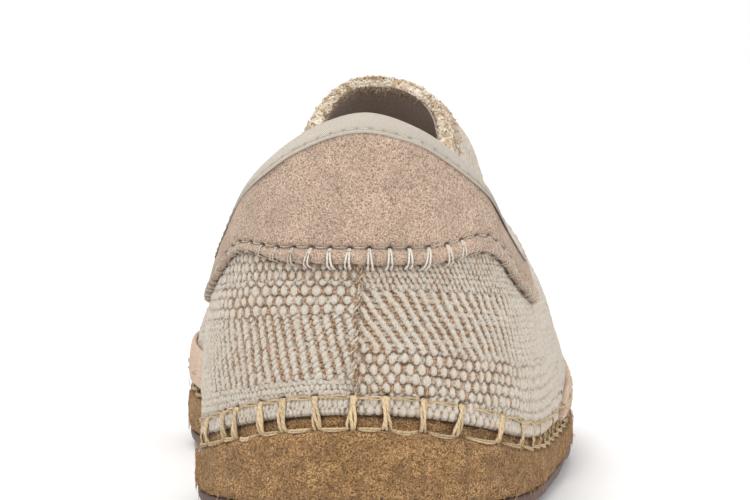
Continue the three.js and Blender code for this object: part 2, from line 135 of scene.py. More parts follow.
# The wall above each of them: ridge, full, draw, bulge
SECTIONS = (
    (31, 3.6, 0.5, 1.6),
    (32, 3.4, 0.55, 1.5),
    (36, 2.9, 0.7, 1.3),
    (44, 2.6, 1.2, 1.2),
    (60, 2.6, 1.4, 1),
    (86, 2, 1.05, 0.8),
    (116, 1.5, 0.5, 1.1),
    (146, 1.35, 0.5, 1.3),
    (173, 1.55, 0.5, 1.2),
    (198, 2, 0.5, 1),
    (220, 2.2, 0.5, 1),
    (237, 2.4, 0.5, 1),
    (247, 2.6, 0.5, 1),
    (252, 2.7, 0.5, 1),
    (253, 2.7, 0.5, 1),
)
# Top line of the last: along, height, lean
RIDGE = ((0, 119, 0), (60, 115.5, -1.2), (90, 109.5, -3), (118, 101.2, -4.4), (146, 89, -5.6), (176, 74, -7.2),
         (204, 63.5, -9), (232, 57, -12), (256, 52, -13), (290, 45.5, -13))
# Underside of the sole and bed of the platform: along, height
UNDERSIDE = ((0, 1.4), (9, 0), (96, 0), (122, 1.6), (150, 0), (202, 0), (218, 1.2), (234, 3.4), (256, 7.2),
             (274, 10.6), (288, 13.4))
BED = ((0, 15.4), (60, 14.2), (120, 12), (190, 10), (232, 12.4), (288, 21))
PATCH_EDGE = (60.6, 60.8, 62.8, 54.2, 48.5, 48.5)
LAST = len(OUTLINE) - 1
TURN = 2 * LAST

# The top of the heel leans to the outer side, and the outer wall is drawn in under the opening
LEAN_MOST, LEAN_FROM, LEAN_TO = 2.4, 1.8, 5.2
DRAWN_MOST, DRAWN_AT, DRAWN_REACH, DRAWN_LEVEL, DRAWN_BAND = 6.1, 6.1, 1.9, 0.65, 0.16

# Bands of the weave on each half of the heel, from the sole up. Heights are those on the middle line. Pitches,
# half widths and half heights are those of one float of white yarn, "step" is how far a row is shifted against the
# one below it, in pitches, "lean" how much a float slants, "rise" how proud it stands and "tan" how dark the ground
# yarn between the floats is.
WEAVE_COLUMNS = ("low", "high", "pitch", "row", "step", "lean", "half_width", "half_height", "rise", "tan")
WEAVE_MEDIAL = (
    (25.2, 30.3, 1.16, 2.5, 0.5, 0.0, 0.5, 1.75, 0.8, 0.5),
    (30.3, 34.3, 1.27, 1.35, 0.5, 0.1, 0.5, 0.85, 0.55, 0.5),
    (34.3, 49.2, 2.5, 1.26, 0.13, -0.4, 0.7, 0.95, 0.9, 1.0),
    (49.2, 57.0, 2.75, 2.15, 0.5, 0.0, 0.94, 1.3, 0.9, 0.95),
    (57.0, 70.0, 2.1, 2.2, 0.5, 0.0, 0.66, 1.4, 0.85, 1.0),
)
WEAVE_LATERAL = (
    (25.2, 31.0, 2.0, 2.9, 0.5, 0.0, 0.82, 2.1, 0.85, 0.7),
    (31.0, 41.3, 2.68, 2.28, 0.5, 0.05, 0.88, 1.36, 0.95, 1.0),
    (41.3, 54.8, 2.6, 1.3, 0.34, 0.34, 0.78, 1.0, 0.9, 0.95),
    (54.8, 70.0, 1.35, 1.35, 0.5, 0.2, 0.48, 0.88, 0.7, 1.0),
)
# Weave of the vamp, in rows along the shoe, in the same columns
WEAVE_VAMP = ((-400.0, 400.0, 2.5, 1.5, 0.5, 0.2, 0.95, 0.95, 0.75, 0.55),)
# Along the sides and over the vamp the relief is lower, the ground yarn whiter and the painted shade in the gaps
# lighter
SIDE_RELIEF, SIDE_WHITE, SIDE_GAP_SHADE = 0.65, 0.6, 0.6
# Soft creases where the shoe bends: along, depth, width, lean
CREASES = ((176, 0.9, 5.5, 0.18), (190, 1.3, 6.5, 0.1), (203, 0.8, 5.0, 0.02))


def round_trip(values):
    """Values at the stations from heel to toe, as a table once round the shoe."""
    values = np.asarray(values, float)
    return np.concatenate([values, values[-2:0:-1]])


ALONG = round_trip([row[0] for row in OUTLINE])
SIDE = np.array([row[2] for row in OUTLINE] + [row[1] for row in OUTLINE[-2:0:-1]], float)
EDGE = round_trip([row[3] for row in OUTLINE])
COLLAR = round_trip([row[4] for row in OUTLINE])
RIDGE_AT, FULL, DRAW, BULGE = (round_trip([row[k] for row in SECTIONS]) for k in range(4))


def spline(a, b, c, d, f):
    """Smooth value at a share f of the way from b to c, with a before them and d after them."""
    return b + 0.5 * f * (c - a + f * (2 * a - 5 * b + 4 * c - d + f * (3 * (b - c) + d - a)))


def unit(vectors):
    """The same directions at a length of 1."""
    return vectors / np.linalg.norm(vectors, axis=-1, keepdims=True)


def travelled(points):
    """Length of the way from point to point along the first axis."""
    step = np.linalg.norm(np.diff(points, axis=0), axis=-1)
    return np.concatenate([np.zeros((1, *step.shape[1:])), np.cumsum(step, axis=0)])


def columns_of(table):
    """The columns of a small table, each as an upright array."""
    return [np.array(column)[:, None] for column in zip(*table)]


def between(table, t):
    """Smooth value of a table once round the shoe.

    t is 0 at the heel, above 0 on the lateral side, below 0 on the medial side, and LAST at the toe.
    """
    t = np.asarray(t, float)
    i = np.floor(t).astype(int)
    f = t - i
    return spline(*(table[(i + k) % TURN] for k in (-1, 0, 1, 2)), f)


def curve(table, column, along):
    """Smooth curve through a table's rows that never swings past them."""
    places = np.array([row[0] for row in table], float)
    values = np.array([row[column] for row in table], float)
    slope = np.diff(values) / np.diff(places)
    before, after = slope[:-1], slope[1:]
    same = before * after > 0
    bend = np.where(same, 2 * before * after / np.where(same, before + after, 1), 0)
    bend = np.concatenate([slope[:1], bend, slope[-1:]])
    along = np.clip(along, places[0], places[-1])
    i = np.clip(np.searchsorted(places, along, side="left") - 1, 0, len(places) - 2)
    span = places[i + 1] - places[i]
    f = (along - places[i]) / span
    rise = values[i + 1] - values[i]
    start, end = bend[i] * span, bend[i + 1] * span
    return values[i] + f * (start + f * (3 * rise - 2 * start - end + f * (start + end - 2 * rise)))


def aside(t, upward):
    """How far the wall stands to the outer side of its plain section."""
    t = (t + LAST) % TURN - LAST
    w = np.abs(t)
    lean = LEAN_MOST * upward * (1 - smooth_step((w - LEAN_FROM) / (LEAN_TO - LEAN_FROM)))
    drawn = np.exp(-((w - DRAWN_AT) / DRAWN_REACH) ** 2 - ((upward - DRAWN_LEVEL) / DRAWN_BAND) ** 2)
    return lean - DRAWN_MOST * np.sin(math.pi * upward) * drawn * (t > 0)


def last_point(t, lift):
    """Point on the closed last, from its lower edge (lift 0) over the ridge (1) to the other side's edge (2)."""
    t, lift = np.broadcast_arrays(np.asarray(t, float), np.asarray(lift, float))
    over = lift > 1
    t = np.where(over, -t, t)
    lift = np.where(over, 2 - lift, lift)
    x, y = between(SIDE, t), between(ALONG, t)
    ridge = between(RIDGE_AT, t)
    dx, dy = curve(RIDGE, 2, ridge) - x, ridge - y
    upward = np.sin(lift * math.pi / 2)
    reach = 1 - np.maximum(0, 1 - np.maximum(upward, 0) ** between(FULL, t)) ** between(DRAW, t)
    swell = between(BULGE, t) * np.sin(math.pi * upward) / np.hypot(dx, dy)
    x, y = x + dx * (reach - swell) + aside(t, upward), y + dy * (reach - swell)
    edge = between(EDGE, t)
    return np.stack([x, y, edge + (curve(RIDGE, 1, y) - edge) * upward], -1)


def skin_point(t, lift, grow):
    """The same point moved out along the surface's normal, and that normal."""
    t, lift = np.broadcast_arrays(np.asarray(t, float), np.asarray(lift, float))
    point = last_point(t, lift)
    near = np.clip(np.where(lift > 1, 2 - lift, lift), 0.02, 0.97)
    side = np.where(lift > 1, -t, t)
    step_t = last_point(side + STEP_T, near) - last_point(side - STEP_T, near)
    step_up = last_point(side, near + STEP_LIFT) - last_point(side, near - STEP_LIFT)
    normal = unit(np.cross(step_t, step_up))
    fall = curve(RIDGE, 1, point[..., 1] + 1) - curve(RIDGE, 1, point[..., 1] - 1)
    top = np.stack([np.zeros_like(fall), -fall / 2, np.ones_like(fall)], -1)
    share = np.clip((np.where(lift > 1, 2 - lift, lift) - 0.93) / 0.06, 0, 1)[..., None]
    normal = unit(normal * (1 - share) + unit(top) * share)
    return point + normal * np.asarray(grow, float)[..., None], normal


def skin_at(t, height, grow):
    """Point and normal at a real height on the last grown by some millimetres."""
    t, height, grow = np.broadcast_arrays(*(np.asarray(v, float) for v in (t, height, grow)))
    edge = between(EDGE, t)
    lift = np.full(t.shape, 0.5)
    for _ in range(SKIN_ROUNDS):
        point, _normal = skin_point(t, lift, grow)
        upward = np.sin(lift * math.pi / 2)
        slope = (point[..., 2] - edge) / upward
        wanted = np.clip(upward + (height - point[..., 2]) / slope, 0.002, 0.999)
        lift = 2 / math.pi * np.arcsin(wanted)
    point, normal = skin_point(t, lift, grow)
    point[..., 2] = height
    return point, normal


def sole_point(t, outward):
    """The upper's outline moved out in plan, and the direction out."""
    t, outward = np.broadcast_arrays(np.asarray(t, float), np.asarray(outward, float))
    run = unit(np.stack([between(table, t + STEP_T) - between(table, t - STEP_T) for table in (SIDE, ALONG)], -1))
    out = np.stack([run[..., 1], -run[..., 0]], -1)
    return between(SIDE, t) + out[..., 0] * outward, between(ALONG, t) + out[..., 1] * outward, out


FINE = np.linspace(-LAST, LAST, 8001)
_steps = np.hypot(np.diff(between(SIDE, FINE)), np.diff(between(ALONG, FINE)))
FINE_LENGTH = np.concatenate([[0], np.cumsum(_steps)])
FINE_LENGTH -= FINE_LENGTH[len(FINE) // 2]
ROUND = FINE_LENGTH[-1] - FINE_LENGTH[0]


def girth(t):
    """Distance round the outline from the back of the heel, in mm, below zero on the medial side."""
    return np.interp(t, FINE, FINE_LENGTH)


def place_of(length):
    """Place t at a distance round the outline from the back of the heel."""
    return np.interp(length, FINE_LENGTH, FINE)


def even_places(start, end, spacing):
    """Places t between two places, evenly spaced along the outline."""
    low, high = girth(start), girth(end)
    return place_of(np.linspace(low, high, max(2, round((high - low) / spacing) + 1)))


def to_part(points):
    """Shoe millimetres to the part's frame in metres."""
    return (np.asarray(points, float) + [-ORIGIN_SIDE, -ORIGIN_ALONG, 0]) * MM


def smooth_step(x):
    """0 below 0, 1 above 1 and a soft ramp from one to the other."""
    x = np.clip(x, 0, 1)
    return x * x * (3 - 2 * x)


def hashed(*numbers):
    """Repeatable number from 0 to 1 for each set of whole numbers."""
    mixed = sum(n * k for n, k in zip(numbers, (127.1, 311.7, 74.7, 19.3)))
    return np.modf(np.abs(np.sin(mixed) * 43758.5453))[0]


def lumps(points, size, seed):
    """Smooth repeatable noise from -1 to 1 at points in mm."""
    q = np.asarray(points, float) / size
    cell = np.floor(q)
    f = q - cell
    f = f * f * (3 - 2 * f)
    total = 0
    for dx in (0, 1):
        for dy in (0, 1):
            for dz in (0, 1):
                weight = (f[..., 0] if dx else 1 - f[..., 0]) * (f[..., 1] if dy else 1 - f[..., 1])
                weight = weight * (f[..., 2] if dz else 1 - f[..., 2])
                total = total + weight * hashed(cell[..., 0] + dx, cell[..., 1] + dy, cell[..., 2] + dz, seed)
    return total * 2 - 1


# Meshes


def deselect():
    """Leaves edit mode and clears the selection."""
    if bpy.context.mode != "OBJECT":
        bpy.ops.object.mode_set(mode="OBJECT")
    bpy.ops.object.select_all(action="DESELECT")


def lay_grid(name, points, uv=None, closed=False, values=None):
    """A grid primitive whose rows and columns are laid on the given points, in shoe millimetres.

    Columns run so that their direction, crossed with that of the rows, points out. A closed one has its
    matching edges merged and its open ends filled.
    """
    rows, columns = points.shape[:2]
    deselect()
    bpy.ops.mesh.primitive_grid_add(x_subdivisions=columns - 1, y_subdivisions=rows - 1, size=1, calc_uvs=True)
    piece = bpy.context.object
    piece.name = piece.data.name = name
    mesh = piece.data
    mesh.vertices.foreach_set("co", to_part(points).reshape(-1).astype(np.float32))
    corner = np.empty(len(mesh.loops), np.int32)
    mesh.loops.foreach_get("vertex_index", corner)
    if uv is not None:
        mesh.uv_layers[0].data.foreach_set("uv", (uv.reshape(-1, 2)[corner] * MM).reshape(-1).astype(np.float32))
    for key, value in (values or {}).items():
        layer = mesh.attributes.new(key, "FLOAT", "POINT")
        layer.data.foreach_set("value", np.broadcast_to(value, (rows, columns)).reshape(-1).astype(np.float32))
    bpy.ops.object.mode_set(mode="EDIT")
    bpy.ops.mesh.select_all(action="SELECT")
    bpy.ops.mesh.remove_doubles(threshold=2e-6)
    if closed:
        bpy.ops.mesh.fill_holes(sides=0)
        bpy.ops.mesh.normals_make_consistent(inside=False)
    bpy.ops.mesh.faces_shade_smooth()
    bpy.ops.object.mode_set(mode="OBJECT")
    mesh.update()
    return piece


def lay_strands(name, paths, radii, sides, tones):
    """Joined mesh of tapering strands.

    paths is strands x points x 3 in shoe mm, radii strands x points. tones has one number, or one for each
    point, for every strand.
    """
    paths, radii = np.asarray(paths, float), np.asarray(radii, float)
    count, long = paths.shape[:2]
    run = np.gradient(paths, axis=1)
    run /= np.maximum(np.linalg.norm(run, axis=-1, keepdims=True), 1e-9)
    helper = np.where(np.abs(run[..., 2:3]) > 0.8, [[[1.0, 0.0, 0.0]]], [[[0.0, 0.0, 1.0]]])
    first = np.cross(run, helper)
    first /= np.maximum(np.linalg.norm(first, axis=-1, keepdims=True), 1e-9)
    for k in range(1, long):
        flipped = (first[:, k] * first[:, k - 1]).sum(-1) < 0
        first[flipped, k] *= -1
    second = np.cross(run, first)
    angle = np.arange(sides) * 2 * math.pi / sides
    ring = first[:, :, None] * np.cos(angle)[:, None] + second[:, :, None] * np.sin(angle)[:, None]
    corners = to_part(paths[:, :, None] + ring * radii[:, :, None, None]).reshape(-1, 3)
    base = (np.arange(count) * long * sides)[:, None, None]
    level = (np.arange(long - 1) * sides)[None, :, None]
    i = np.arange(sides)[None, None, :]
    j = (i + 1) % sides
    quads = np.stack([base + level + i, base + level + j, base + level + sides + j, base + level + sides + i], -1)
    quads = quads.reshape(-1)
    start_caps = (base[:, 0] + np.arange(sides)[::-1]).reshape(-1)
    end_caps = (base[:, 0] + (long - 1) * sides + np.arange(sides)).reshape(-1)
    corner = np.concatenate([quads, start_caps, end_caps]).astype(np.int32)
    totals = np.concatenate([np.full(len(quads) // 4, 4), np.full(2 * count, sides)]).astype(np.int32)
    mesh = bpy.data.meshes.new(name)
    mesh.vertices.add(len(corners))
    mesh.vertices.foreach_set("co", corners.reshape(-1).astype(np.float32))
    mesh.loops.add(len(corner))
    mesh.loops.foreach_set("vertex_index", corner)
    mesh.polygons.add(len(totals))
    mesh.polygons.foreach_set("loop_start", (np.cumsum(totals) - totals).astype(np.int32))
    mesh.polygons.foreach_set("use_smooth", np.ones(len(totals), bool))
    layer = mesh.attributes.new("tone", "FLOAT", "POINT")
    spread = np.broadcast_to(np.asarray(tones, float).reshape(count, -1), (count, long))
    layer.data.foreach_set("value", np.repeat(spread.reshape(-1), sides).astype(np.float32))
    length = travelled(paths.swapaxes(0, 1)).T
    along = np.stack([length[:, :-1], length[:, :-1], length[:, 1:], length[:, 1:]], -1)[:, :, None] * MM
    along = np.broadcast_to(along, (count, long - 1, sides, 4))
    around = np.broadcast_to(np.stack([i, i + 1, i + 1, i], -1) / sides, along.shape)
    uv = np.zeros((len(corner), 2), np.float32)
    uv[:len(quads)] = np.stack([along.reshape(-1), around.reshape(-1)], -1)
    mesh.uv_layers.new(name="UVMap").data.foreach_set("uv", uv.reshape(-1))
    mesh.update(calc_edges=True)
    piece = bpy.data.objects.new(name, mesh)
    bpy.context.scene.collection.objects.link(piece)
    return piece


class Strands:
    """Strands gathered one by one for a piece."""

    def __init__(self):
        self.paths, self.radii, self.tones = [], [], []

    def add(self, path, radii, tone):
        self.paths.append(path)
        self.radii.append(radii)
        self.tones.append(tone)

    def lay(self, name, sides):
        return lay_strands(name, self.paths, self.radii, sides, self.tones)


def hairs_from(rng, root, away, reach, curl, points):
    """Fine hairs that leave their roots and bend as they go."""
    part = np.linspace(0, 1, points)[None, :, None]
    length = rng.uniform(*reach, len(root))[:, None, None]
    bend = rng.normal(0, curl, (len(root), 1, 3))
    return root[:, None] + away[:, None] * part * length + bend * part ** 2 * length * 0.6


def finish(piece, material, slot, *nodes):
    """Gives a piece its material and its body, and hides the CAD parts it stands for."""
    piece.data.materials.clear()
    piece.data.materials.append(material)
    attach(piece, "root")
    if nodes:
        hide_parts(*nodes)


# Materials


class Value:
    """A socket of a node tree. Arithmetic on it adds Math nodes."""

    def __init__(self, recipe, socket):
        self.recipe = recipe
        self.socket = socket

    def math(self, operation, *values):
        return self.recipe.node("ShaderNodeMath", {"operation": operation}, dict(enumerate(values)))

    def __add__(self, other):
        return self.math("ADD", self, other)

    def __sub__(self, other):
        return self.math("SUBTRACT", self, other)

    def __rsub__(self, other):
        return self.math("SUBTRACT", other, self)

    def __mul__(self, other):
        return self.math("MULTIPLY", self, other)


class Recipe:
    """A material with one Principled shader, built node by node."""

    def __init__(self, name, **constants):
        self.material = bpy.data.materials.new(name)
        self.material.use_nodes = True
        self.tree = self.material.node_tree
        self.shader = self.tree.nodes["Principled BSDF"]
        for key, value in constants.items():
            self.shader.inputs[key.replace("_", " ")].default_value = value

    def node(self, kind, settings=None, inputs=None, output=0):
        node = self.tree.nodes.new(kind)
        for key, value in (settings or {}).items():
            setattr(node, key, value)
        for key, value in (inputs or {}).items():
            self.feed(node.inputs[key], value)
        return Value(self, node.outputs[output])

    def feed(self, socket, value):
        if isinstance(value, Value):
            self.tree.links.new(value.socket, socket)
        elif isinstance(value, (tuple, list)) and socket.type == "RGBA" and len(value) == 3:
            socket.default_value = (*value, 1.0)
        else:
            socket.default_value = value

    def into(self, name, value):
        self.feed(self.shader.inputs[name], value)

    def attribute(self, name):
        return self.node("ShaderNodeAttribute", {"attribute_name": name}, output="Fac")

    def place(self, scale=(1, 1, 1), turn=(0, 0, 0), which="Object"):
        """Object or UV coordinates, stretched and turned."""
        spot = self.node("ShaderNodeTexCoord", output=which)
        return self.node("ShaderNodeMapping", None, {"Vector": spot, "Scale": scale, "Rotation": turn})

    def noise(self, vector, scale, detail=2.0, roughness=0.5):
        return self.node("ShaderNodeTexNoise", None,
                         {"Vector": vector, "Scale": scale, "Detail": detail, "Roughness": roughness})

    def span(self, value, low, high):
        """0 where a value is low, 1 where it is high."""
        return self.node("ShaderNodeMapRange", {"clamp": True}, {"Value": value, "From Min": low, "From Max": high})

    def mix(self, factor, first, second):
        """Colour between two colours."""
        return self.node("ShaderNodeMix", {"data_type": "RGBA"}, {0: factor, 6: first, 7: second}, output=2)

    def bump(self, height, distance, strength):
        bump = self.node("ShaderNodeBump", None, {"Height": height, "Distance": distance, "Strength": strength})
        self.into("Normal", bump)


def tint(red, green, blue):
    """A colour given as it looks on screen, from 0 to 255, in Blender's linear values."""
    return tuple(((c / 255 + 0.055) / 1.055) ** 2.4 if c > 10 else c / 3294.6 for c in (red, green, blue))


def scaled(colour, factor):
    """A colour made brighter or darker."""
    return tuple(min(1.0, c * factor) for c in colour)


def cloth_material(name, white, tan, shade):
    """Woven cloth. The mesh says how white the yarn is and how deep it lies, and where it lies deep the colour is
    darkened towards the gaps' colour as painted shade.
    """
    recipe = Recipe(name, Roughness=0.92, Specular_IOR_Level=0.12, Sheen_Weight=0.1, Sheen_Roughness=0.6)
    yarn, depth = recipe.attribute("yarn"), recipe.attribute("depth")
    twist = recipe.noise(recipe.place((4600, 1500, 1), (0, 0, 0.35), which="UV"), 1.0, 2.0)
    broad = recipe.noise(recipe.place(), 110.0, 2.0)
    flecks = recipe.noise(recipe.place(), 2000.0, 3.0, 0.65)
    ground = recipe.mix(recipe.span(flecks, 0.41, 0.59), scaled(tan, 0.32), scaled(tan, 1.16))
    bleached = recipe.mix(recipe.span(twist * 0.7 + flecks * 0.3, 0.36, 0.62), scaled(white, 0.7), scaled(white, 1.08))
    cloth = recipe.mix(recipe.span(yarn + (flecks - 0.5) * 0.7, 0.3, 0.7), ground, bleached)
    cloth = recipe.mix(recipe.span(broad, 0.35, 0.7) * 0.2, cloth, tan)
    # Painted shade: darkened towards the gaps' colour where the weave lies deep
    cloth = recipe.mix(recipe.span(depth + (flecks - 0.5) * 0.4, 0.0, 1.0) * 0.9, cloth, shade)
    recipe.into("Base Color", cloth)
    recipe.bump(twist + flecks * 0.6, 0.0002, 0.9)
    return recipe.material


def suede_material(name, base, dark, pale):
    """Suede: a mottled nap with fine pale flecks. The mesh says where its needle holes are, and they are darkened
    there as painted shade.
    """
    recipe = Recipe(name, Roughness=0.95, Specular_IOR_Level=0.1, Sheen_Weight=0.15, Sheen_Roughness=0.5)
    spot = recipe.place()
    nap = recipe.noise(spot, 1700.0, 4.0, 0.7)
    fine = recipe.noise(spot, 3300.0, 2.0)
    broad = recipe.noise(spot, 130.0, 4.0, 0.6)
    colour = recipe.mix(recipe.span(nap, 0.4, 0.56), dark, base)
    colour = recipe.mix(recipe.span(fine, 0.48, 0.6) * 0.85, colour, pale)
    colour = recipe.mix(recipe.span(broad, 0.38, 0.66) * 0.3, colour, dark)
    # Painted shade in the needle holes
    colour = recipe.mix(recipe.attribute("pit"), colour, scaled(dark, 0.3))
    recipe.into("Base Color", colour)
    recipe.bump(nap + fine * 0.5 + broad * 1.5, 0.0006, 1.0)
    return recipe.material


def tape_material(name, base, dark):
    """Twill tape: fine diagonal ribs on the tape's own length and width."""
    recipe = Recipe(name, Roughness=0.88, Specular_IOR_Level=0.15, Sheen_Weight=0.15)
    spot = recipe.place(which="UV")
    rib = recipe.node("ShaderNodeTexWave", {"wave_type": "BANDS", "bands_direction": "DIAGONAL"},
                      {"Vector": spot, "Scale": 1700.0, "Distortion": 0.8, "Detail": 1.0, "Detail Scale": 2.0},
                      output=1)
    cross = recipe.noise(recipe.place((3600, 1700, 1), which="UV"), 1.0, 2.0)
    broad = recipe.noise(recipe.place(), 120.0, 2.0)
    colour = recipe.mix(recipe.span(rib * 0.5 + cross * 0.5, 0.2, 0.7), dark, base)
    colour = recipe.mix(recipe.span(broad, 0.4, 0.7) * 0.15, colour, dark)
    # Painted shade in the stitch pricks
    colour = recipe.mix(recipe.attribute("pit") * 0.7, colour, scaled(dark, 0.5))
    recipe.into("Base Color", colour)
    recipe.bump(rib + cross * 0.5, 0.00016, 0.9)
    return recipe.material


def strand_material(name, dark, pale, scale=2400.0, twist=None):
    """Yarn, cord and fibre: each strand has its own tone. A cord's plies turn round it once in each twist, and the
    grooves between them are darkened as painted shade.
    """
    recipe = Recipe(name, Roughness=0.85, Specular_IOR_Level=0.18, Sheen_Weight=0.1)
    grain = recipe.noise(recipe.place(), scale, 2.0)
    tone = recipe.attribute("tone") + (grain - 0.5) * 0.6
    relief = grain
    if twist:
        spot = recipe.node("ShaderNodeTexCoord", output="UV")
        along = recipe.node("ShaderNodeSeparateXYZ", None, {0: spot}, 0)
        around = recipe.node("ShaderNodeSeparateXYZ", None, {0: spot}, 1)
        turn = along * (2 * math.pi / (twist * MM)) + around * (4 * math.pi)
        plies = turn.math("SINE", turn) * 0.5 + 0.5
        # Painted shade in the grooves between the plies
        tone = tone - (1 - plies) * 0.45 + 0.15
        relief = plies + grain * 0.7
    recipe.into("Base Color", recipe.mix(recipe.span(tone, 0.0, 1.0), dark, pale))
    recipe.bump(relief, 0.0002, 0.8)
    return recipe.material


def jute_material(name, dark, base, pale):
    """Matted jute with pale flecks. The mesh says where the painted shadow line under the upper is."""
    recipe = Recipe(name, Roughness=0.95, Specular_IOR_Level=0.08, Sheen_Weight=0.1)
    spot = recipe.place()
    hair = recipe.noise(recipe.place((1, 1, 1.7)), 900.0, 5.0, 0.75)
    fleck = recipe.noise(spot, 2500.0, 2.0)
    broad = recipe.noise(spot, 220.0, 4.0, 0.6)
    colour = recipe.mix(recipe.span(hair, 0.44, 0.55), dark, base)
    colour = recipe.mix(recipe.span(fleck, 0.5, 0.6) * 0.95, colour, pale)
    colour = recipe.mix(recipe.span(broad, 0.4, 0.64) * 0.55, colour, dark)
    # Painted shadow under the upper's edge
    colour = recipe.mix(recipe.attribute("depth"), colour, scaled(dark, 0.12))
    recipe.into("Base Color", colour)
    recipe.bump(hair + fleck * 0.5, 0.0008, 1.0)
    return recipe.material


def plain_material(name, base, dark, roughness, scale=900.0, depth=0.0001):
    """Rubber, lining and sock: a quiet mottle with fine grain."""
    recipe = Recipe(name, Roughness=roughness, Specular_IOR_Level=0.25)
    spot = recipe.place()
    grain = recipe.noise(spot, scale, 3.0)
    broad = recipe.noise(spot, 60.0, 2.0)
    recipe.into("Base Color", recipe.mix(recipe.span(grain * 0.6 + broad * 0.4, 0.35, 0.65), dark, base))
    recipe.bump(grain, depth, 0.7)
    return recipe.material


# Weave


def floats(bands, u, v, seed):
    """Height of the weave, how white its yarn is and how deep its gaps lie, which the material paints as shade.

    White floats stand in rows, and flatter ones of the ground yarn fill the gaps between them.
    """
    height, yarn, depth = np.zeros(u.shape), np.full(u.shape, 0.5), np.ones(u.shape)
    for number, band in enumerate(bands):
        row = dict(zip(WEAVE_COLUMNS, band))
        inside = (v >= row["low"] - 0.3) & (v < row["high"] + 0.3)
        if not inside.any():
            continue
        across_all, up_all = u[inside], v[inside]
        level = np.floor((up_all - row["low"]) / row["row"])
        best, tone, dome_best = np.zeros(level.shape), np.full(level.shape, 0.5), np.zeros(level.shape)
        gap = row["pitch"] / 2 - row["half_width"]
        kinds = ((0.5, row["half_width"], row["half_height"], row["rise"], 1.0),
                 (1.0, gap + 0.2 * row["pitch"], row["row"] * 0.47, row["rise"] * 0.42, 0.0))
        for up in (-1, 0, 1):
            line = level + up
            shift = -row["step"] * line
            for start, half_width, half_height, rise, white in kinds:
                column = np.floor(across_all / row["pitch"] - shift + 0.5 - start)
                for over in (-1, 0, 1):
                    cell = column + over
                    key = (cell, line, number + seed + 3 * start)
                    middle_u = (cell + start + shift + 0.08 * (hashed(*key) - 0.5)) * row["pitch"]
                    middle_v = row["low"] + (line + 0.5 + 0.12 * (hashed(*key, 5) - 0.5)) * row["row"]
                    size = 0.9 + 0.18 * hashed(*key, 9)
                    off_u = (across_all - middle_u + row["lean"] * (up_all - middle_v)) / (half_width * size)
                    off_v = (up_all - middle_v) / (half_height * size)
                    dome = 1 - np.abs(off_u) ** 2.4 - np.abs(off_v) ** 2.2
                    lift = rise * np.sqrt(np.maximum(dome, 0)) * (0.85 + 0.3 * hashed(*key, 13))
                    top = lift > best
                    best = np.where(top, lift, best)
                    ground = 1 - row["tan"] * (0.45 + 0.75 * hashed(*key, 17))
                    tone = np.where(top, np.clip(white + (1 - white) * ground, 0, 1), tone)
                    dome_best = np.where(top, dome, dome_best)
        height[inside] = np.maximum(height[inside], best)
        yarn[inside] = tone
        # Painted shade: depth is 1 in the gaps between the floats and falls to 0 on them
        depth[inside] = (1 - smooth_step(dome_best / 0.5)) ** 1.1
    return height, yarn, depth


def mingle(first, second, share):
    """Two weaves faded into each other."""
    return tuple(a * (1 - share) + b * share for a, b in zip(first, second))


def stitch_places(spacing, start, end):
    """Evenly spaced distances round the outline, both ends included."""
    return np.linspace(start, end, round((end - start) / spacing) + 1)


def run_heights(t):
    """Heights of the upper and the lower run of the blanket stitch."""
    squeeze = smooth_step((np.abs(t) - 1.2) / 2.2)
    edge = between(EDGE, t)
    return edge + BLANKET_ABOVE * (1 - 0.2 * squeeze), edge - BLANKET_BELOW * (1 - 0.28 * squeeze)


# Distances of the blanket stitch's bars round the heel, in mm from its back
BLANKET_HEEL = (-50.0, -38.0, -32.2, -24.1, -17.9, -9.6, -0.5, 6.7, 15.5, 25.5, 39.3, 52.0)
BLANKET = np.concatenate([np.arange(BLANKET_HEEL[0] - BLANKET_PITCH, FINE_LENGTH[0], -BLANKET_PITCH)[::-1],
                          BLANKET_HEEL,
                          np.arange(BLANKET_HEEL[-1] + BLANKET_PITCH, FINE_LENGTH[-1] - 4, BLANKET_PITCH)])


def hole_dents(u, height, holes, hole_height, width):
    """1 at each hole, falling to 0 about a hole's width away."""
    near = np.clip(np.searchsorted((holes[1:] + holes[:-1]) / 2, u), 0, len(holes) - 1)
    return np.exp(-((u - holes[near]) ** 2 + (height - hole_height[near]) ** 2) / width ** 2)


def patch_low(t):
    """Height of the heel patch's lower edge, which turns up at its two ends."""
    table = np.array(PATCH_EDGE)
    w = np.abs(np.asarray(t, float))
    i = np.minimum(np.floor(w).astype(int), len(table) - 2)
    f = w - i
    smooth = spline(*(table[np.minimum(np.abs(i + k), len(table) - 1)] for k in (-1, 0, 1, 2)), f)
    return smooth + np.maximum(0, w - PATCH_END + CORNER_REACH) ** 2 * CORNER_RISE


def crease_depth(points):
    """Soft troughs across the vamp where the shoe bends."""
    depth = np.zeros(points.shape[:-1])
    for along, deep, width, lean in CREASES:
        middle = along + lean * points[..., 0] + 2.0 * np.sin(points[..., 0] / 17.0 + along)
        depth += deep * np.exp(-((points[..., 1] - middle) / width) ** 2)
    return depth


def rim_end(below=0.0):
    """Place where a line some millimetres under the opening's edge crosses the ridge over the instep."""
    w = np.linspace(5.5, 7.0, 3001)
    ridge = between(RIDGE_AT, w)
    return w[np.argmin(np.abs(between(COLLAR, w) - below - curve(RIDGE, 1, ridge)))]


RIM_END = rim_end()
HEEL_CLOTH_END = 4.0


# Pieces


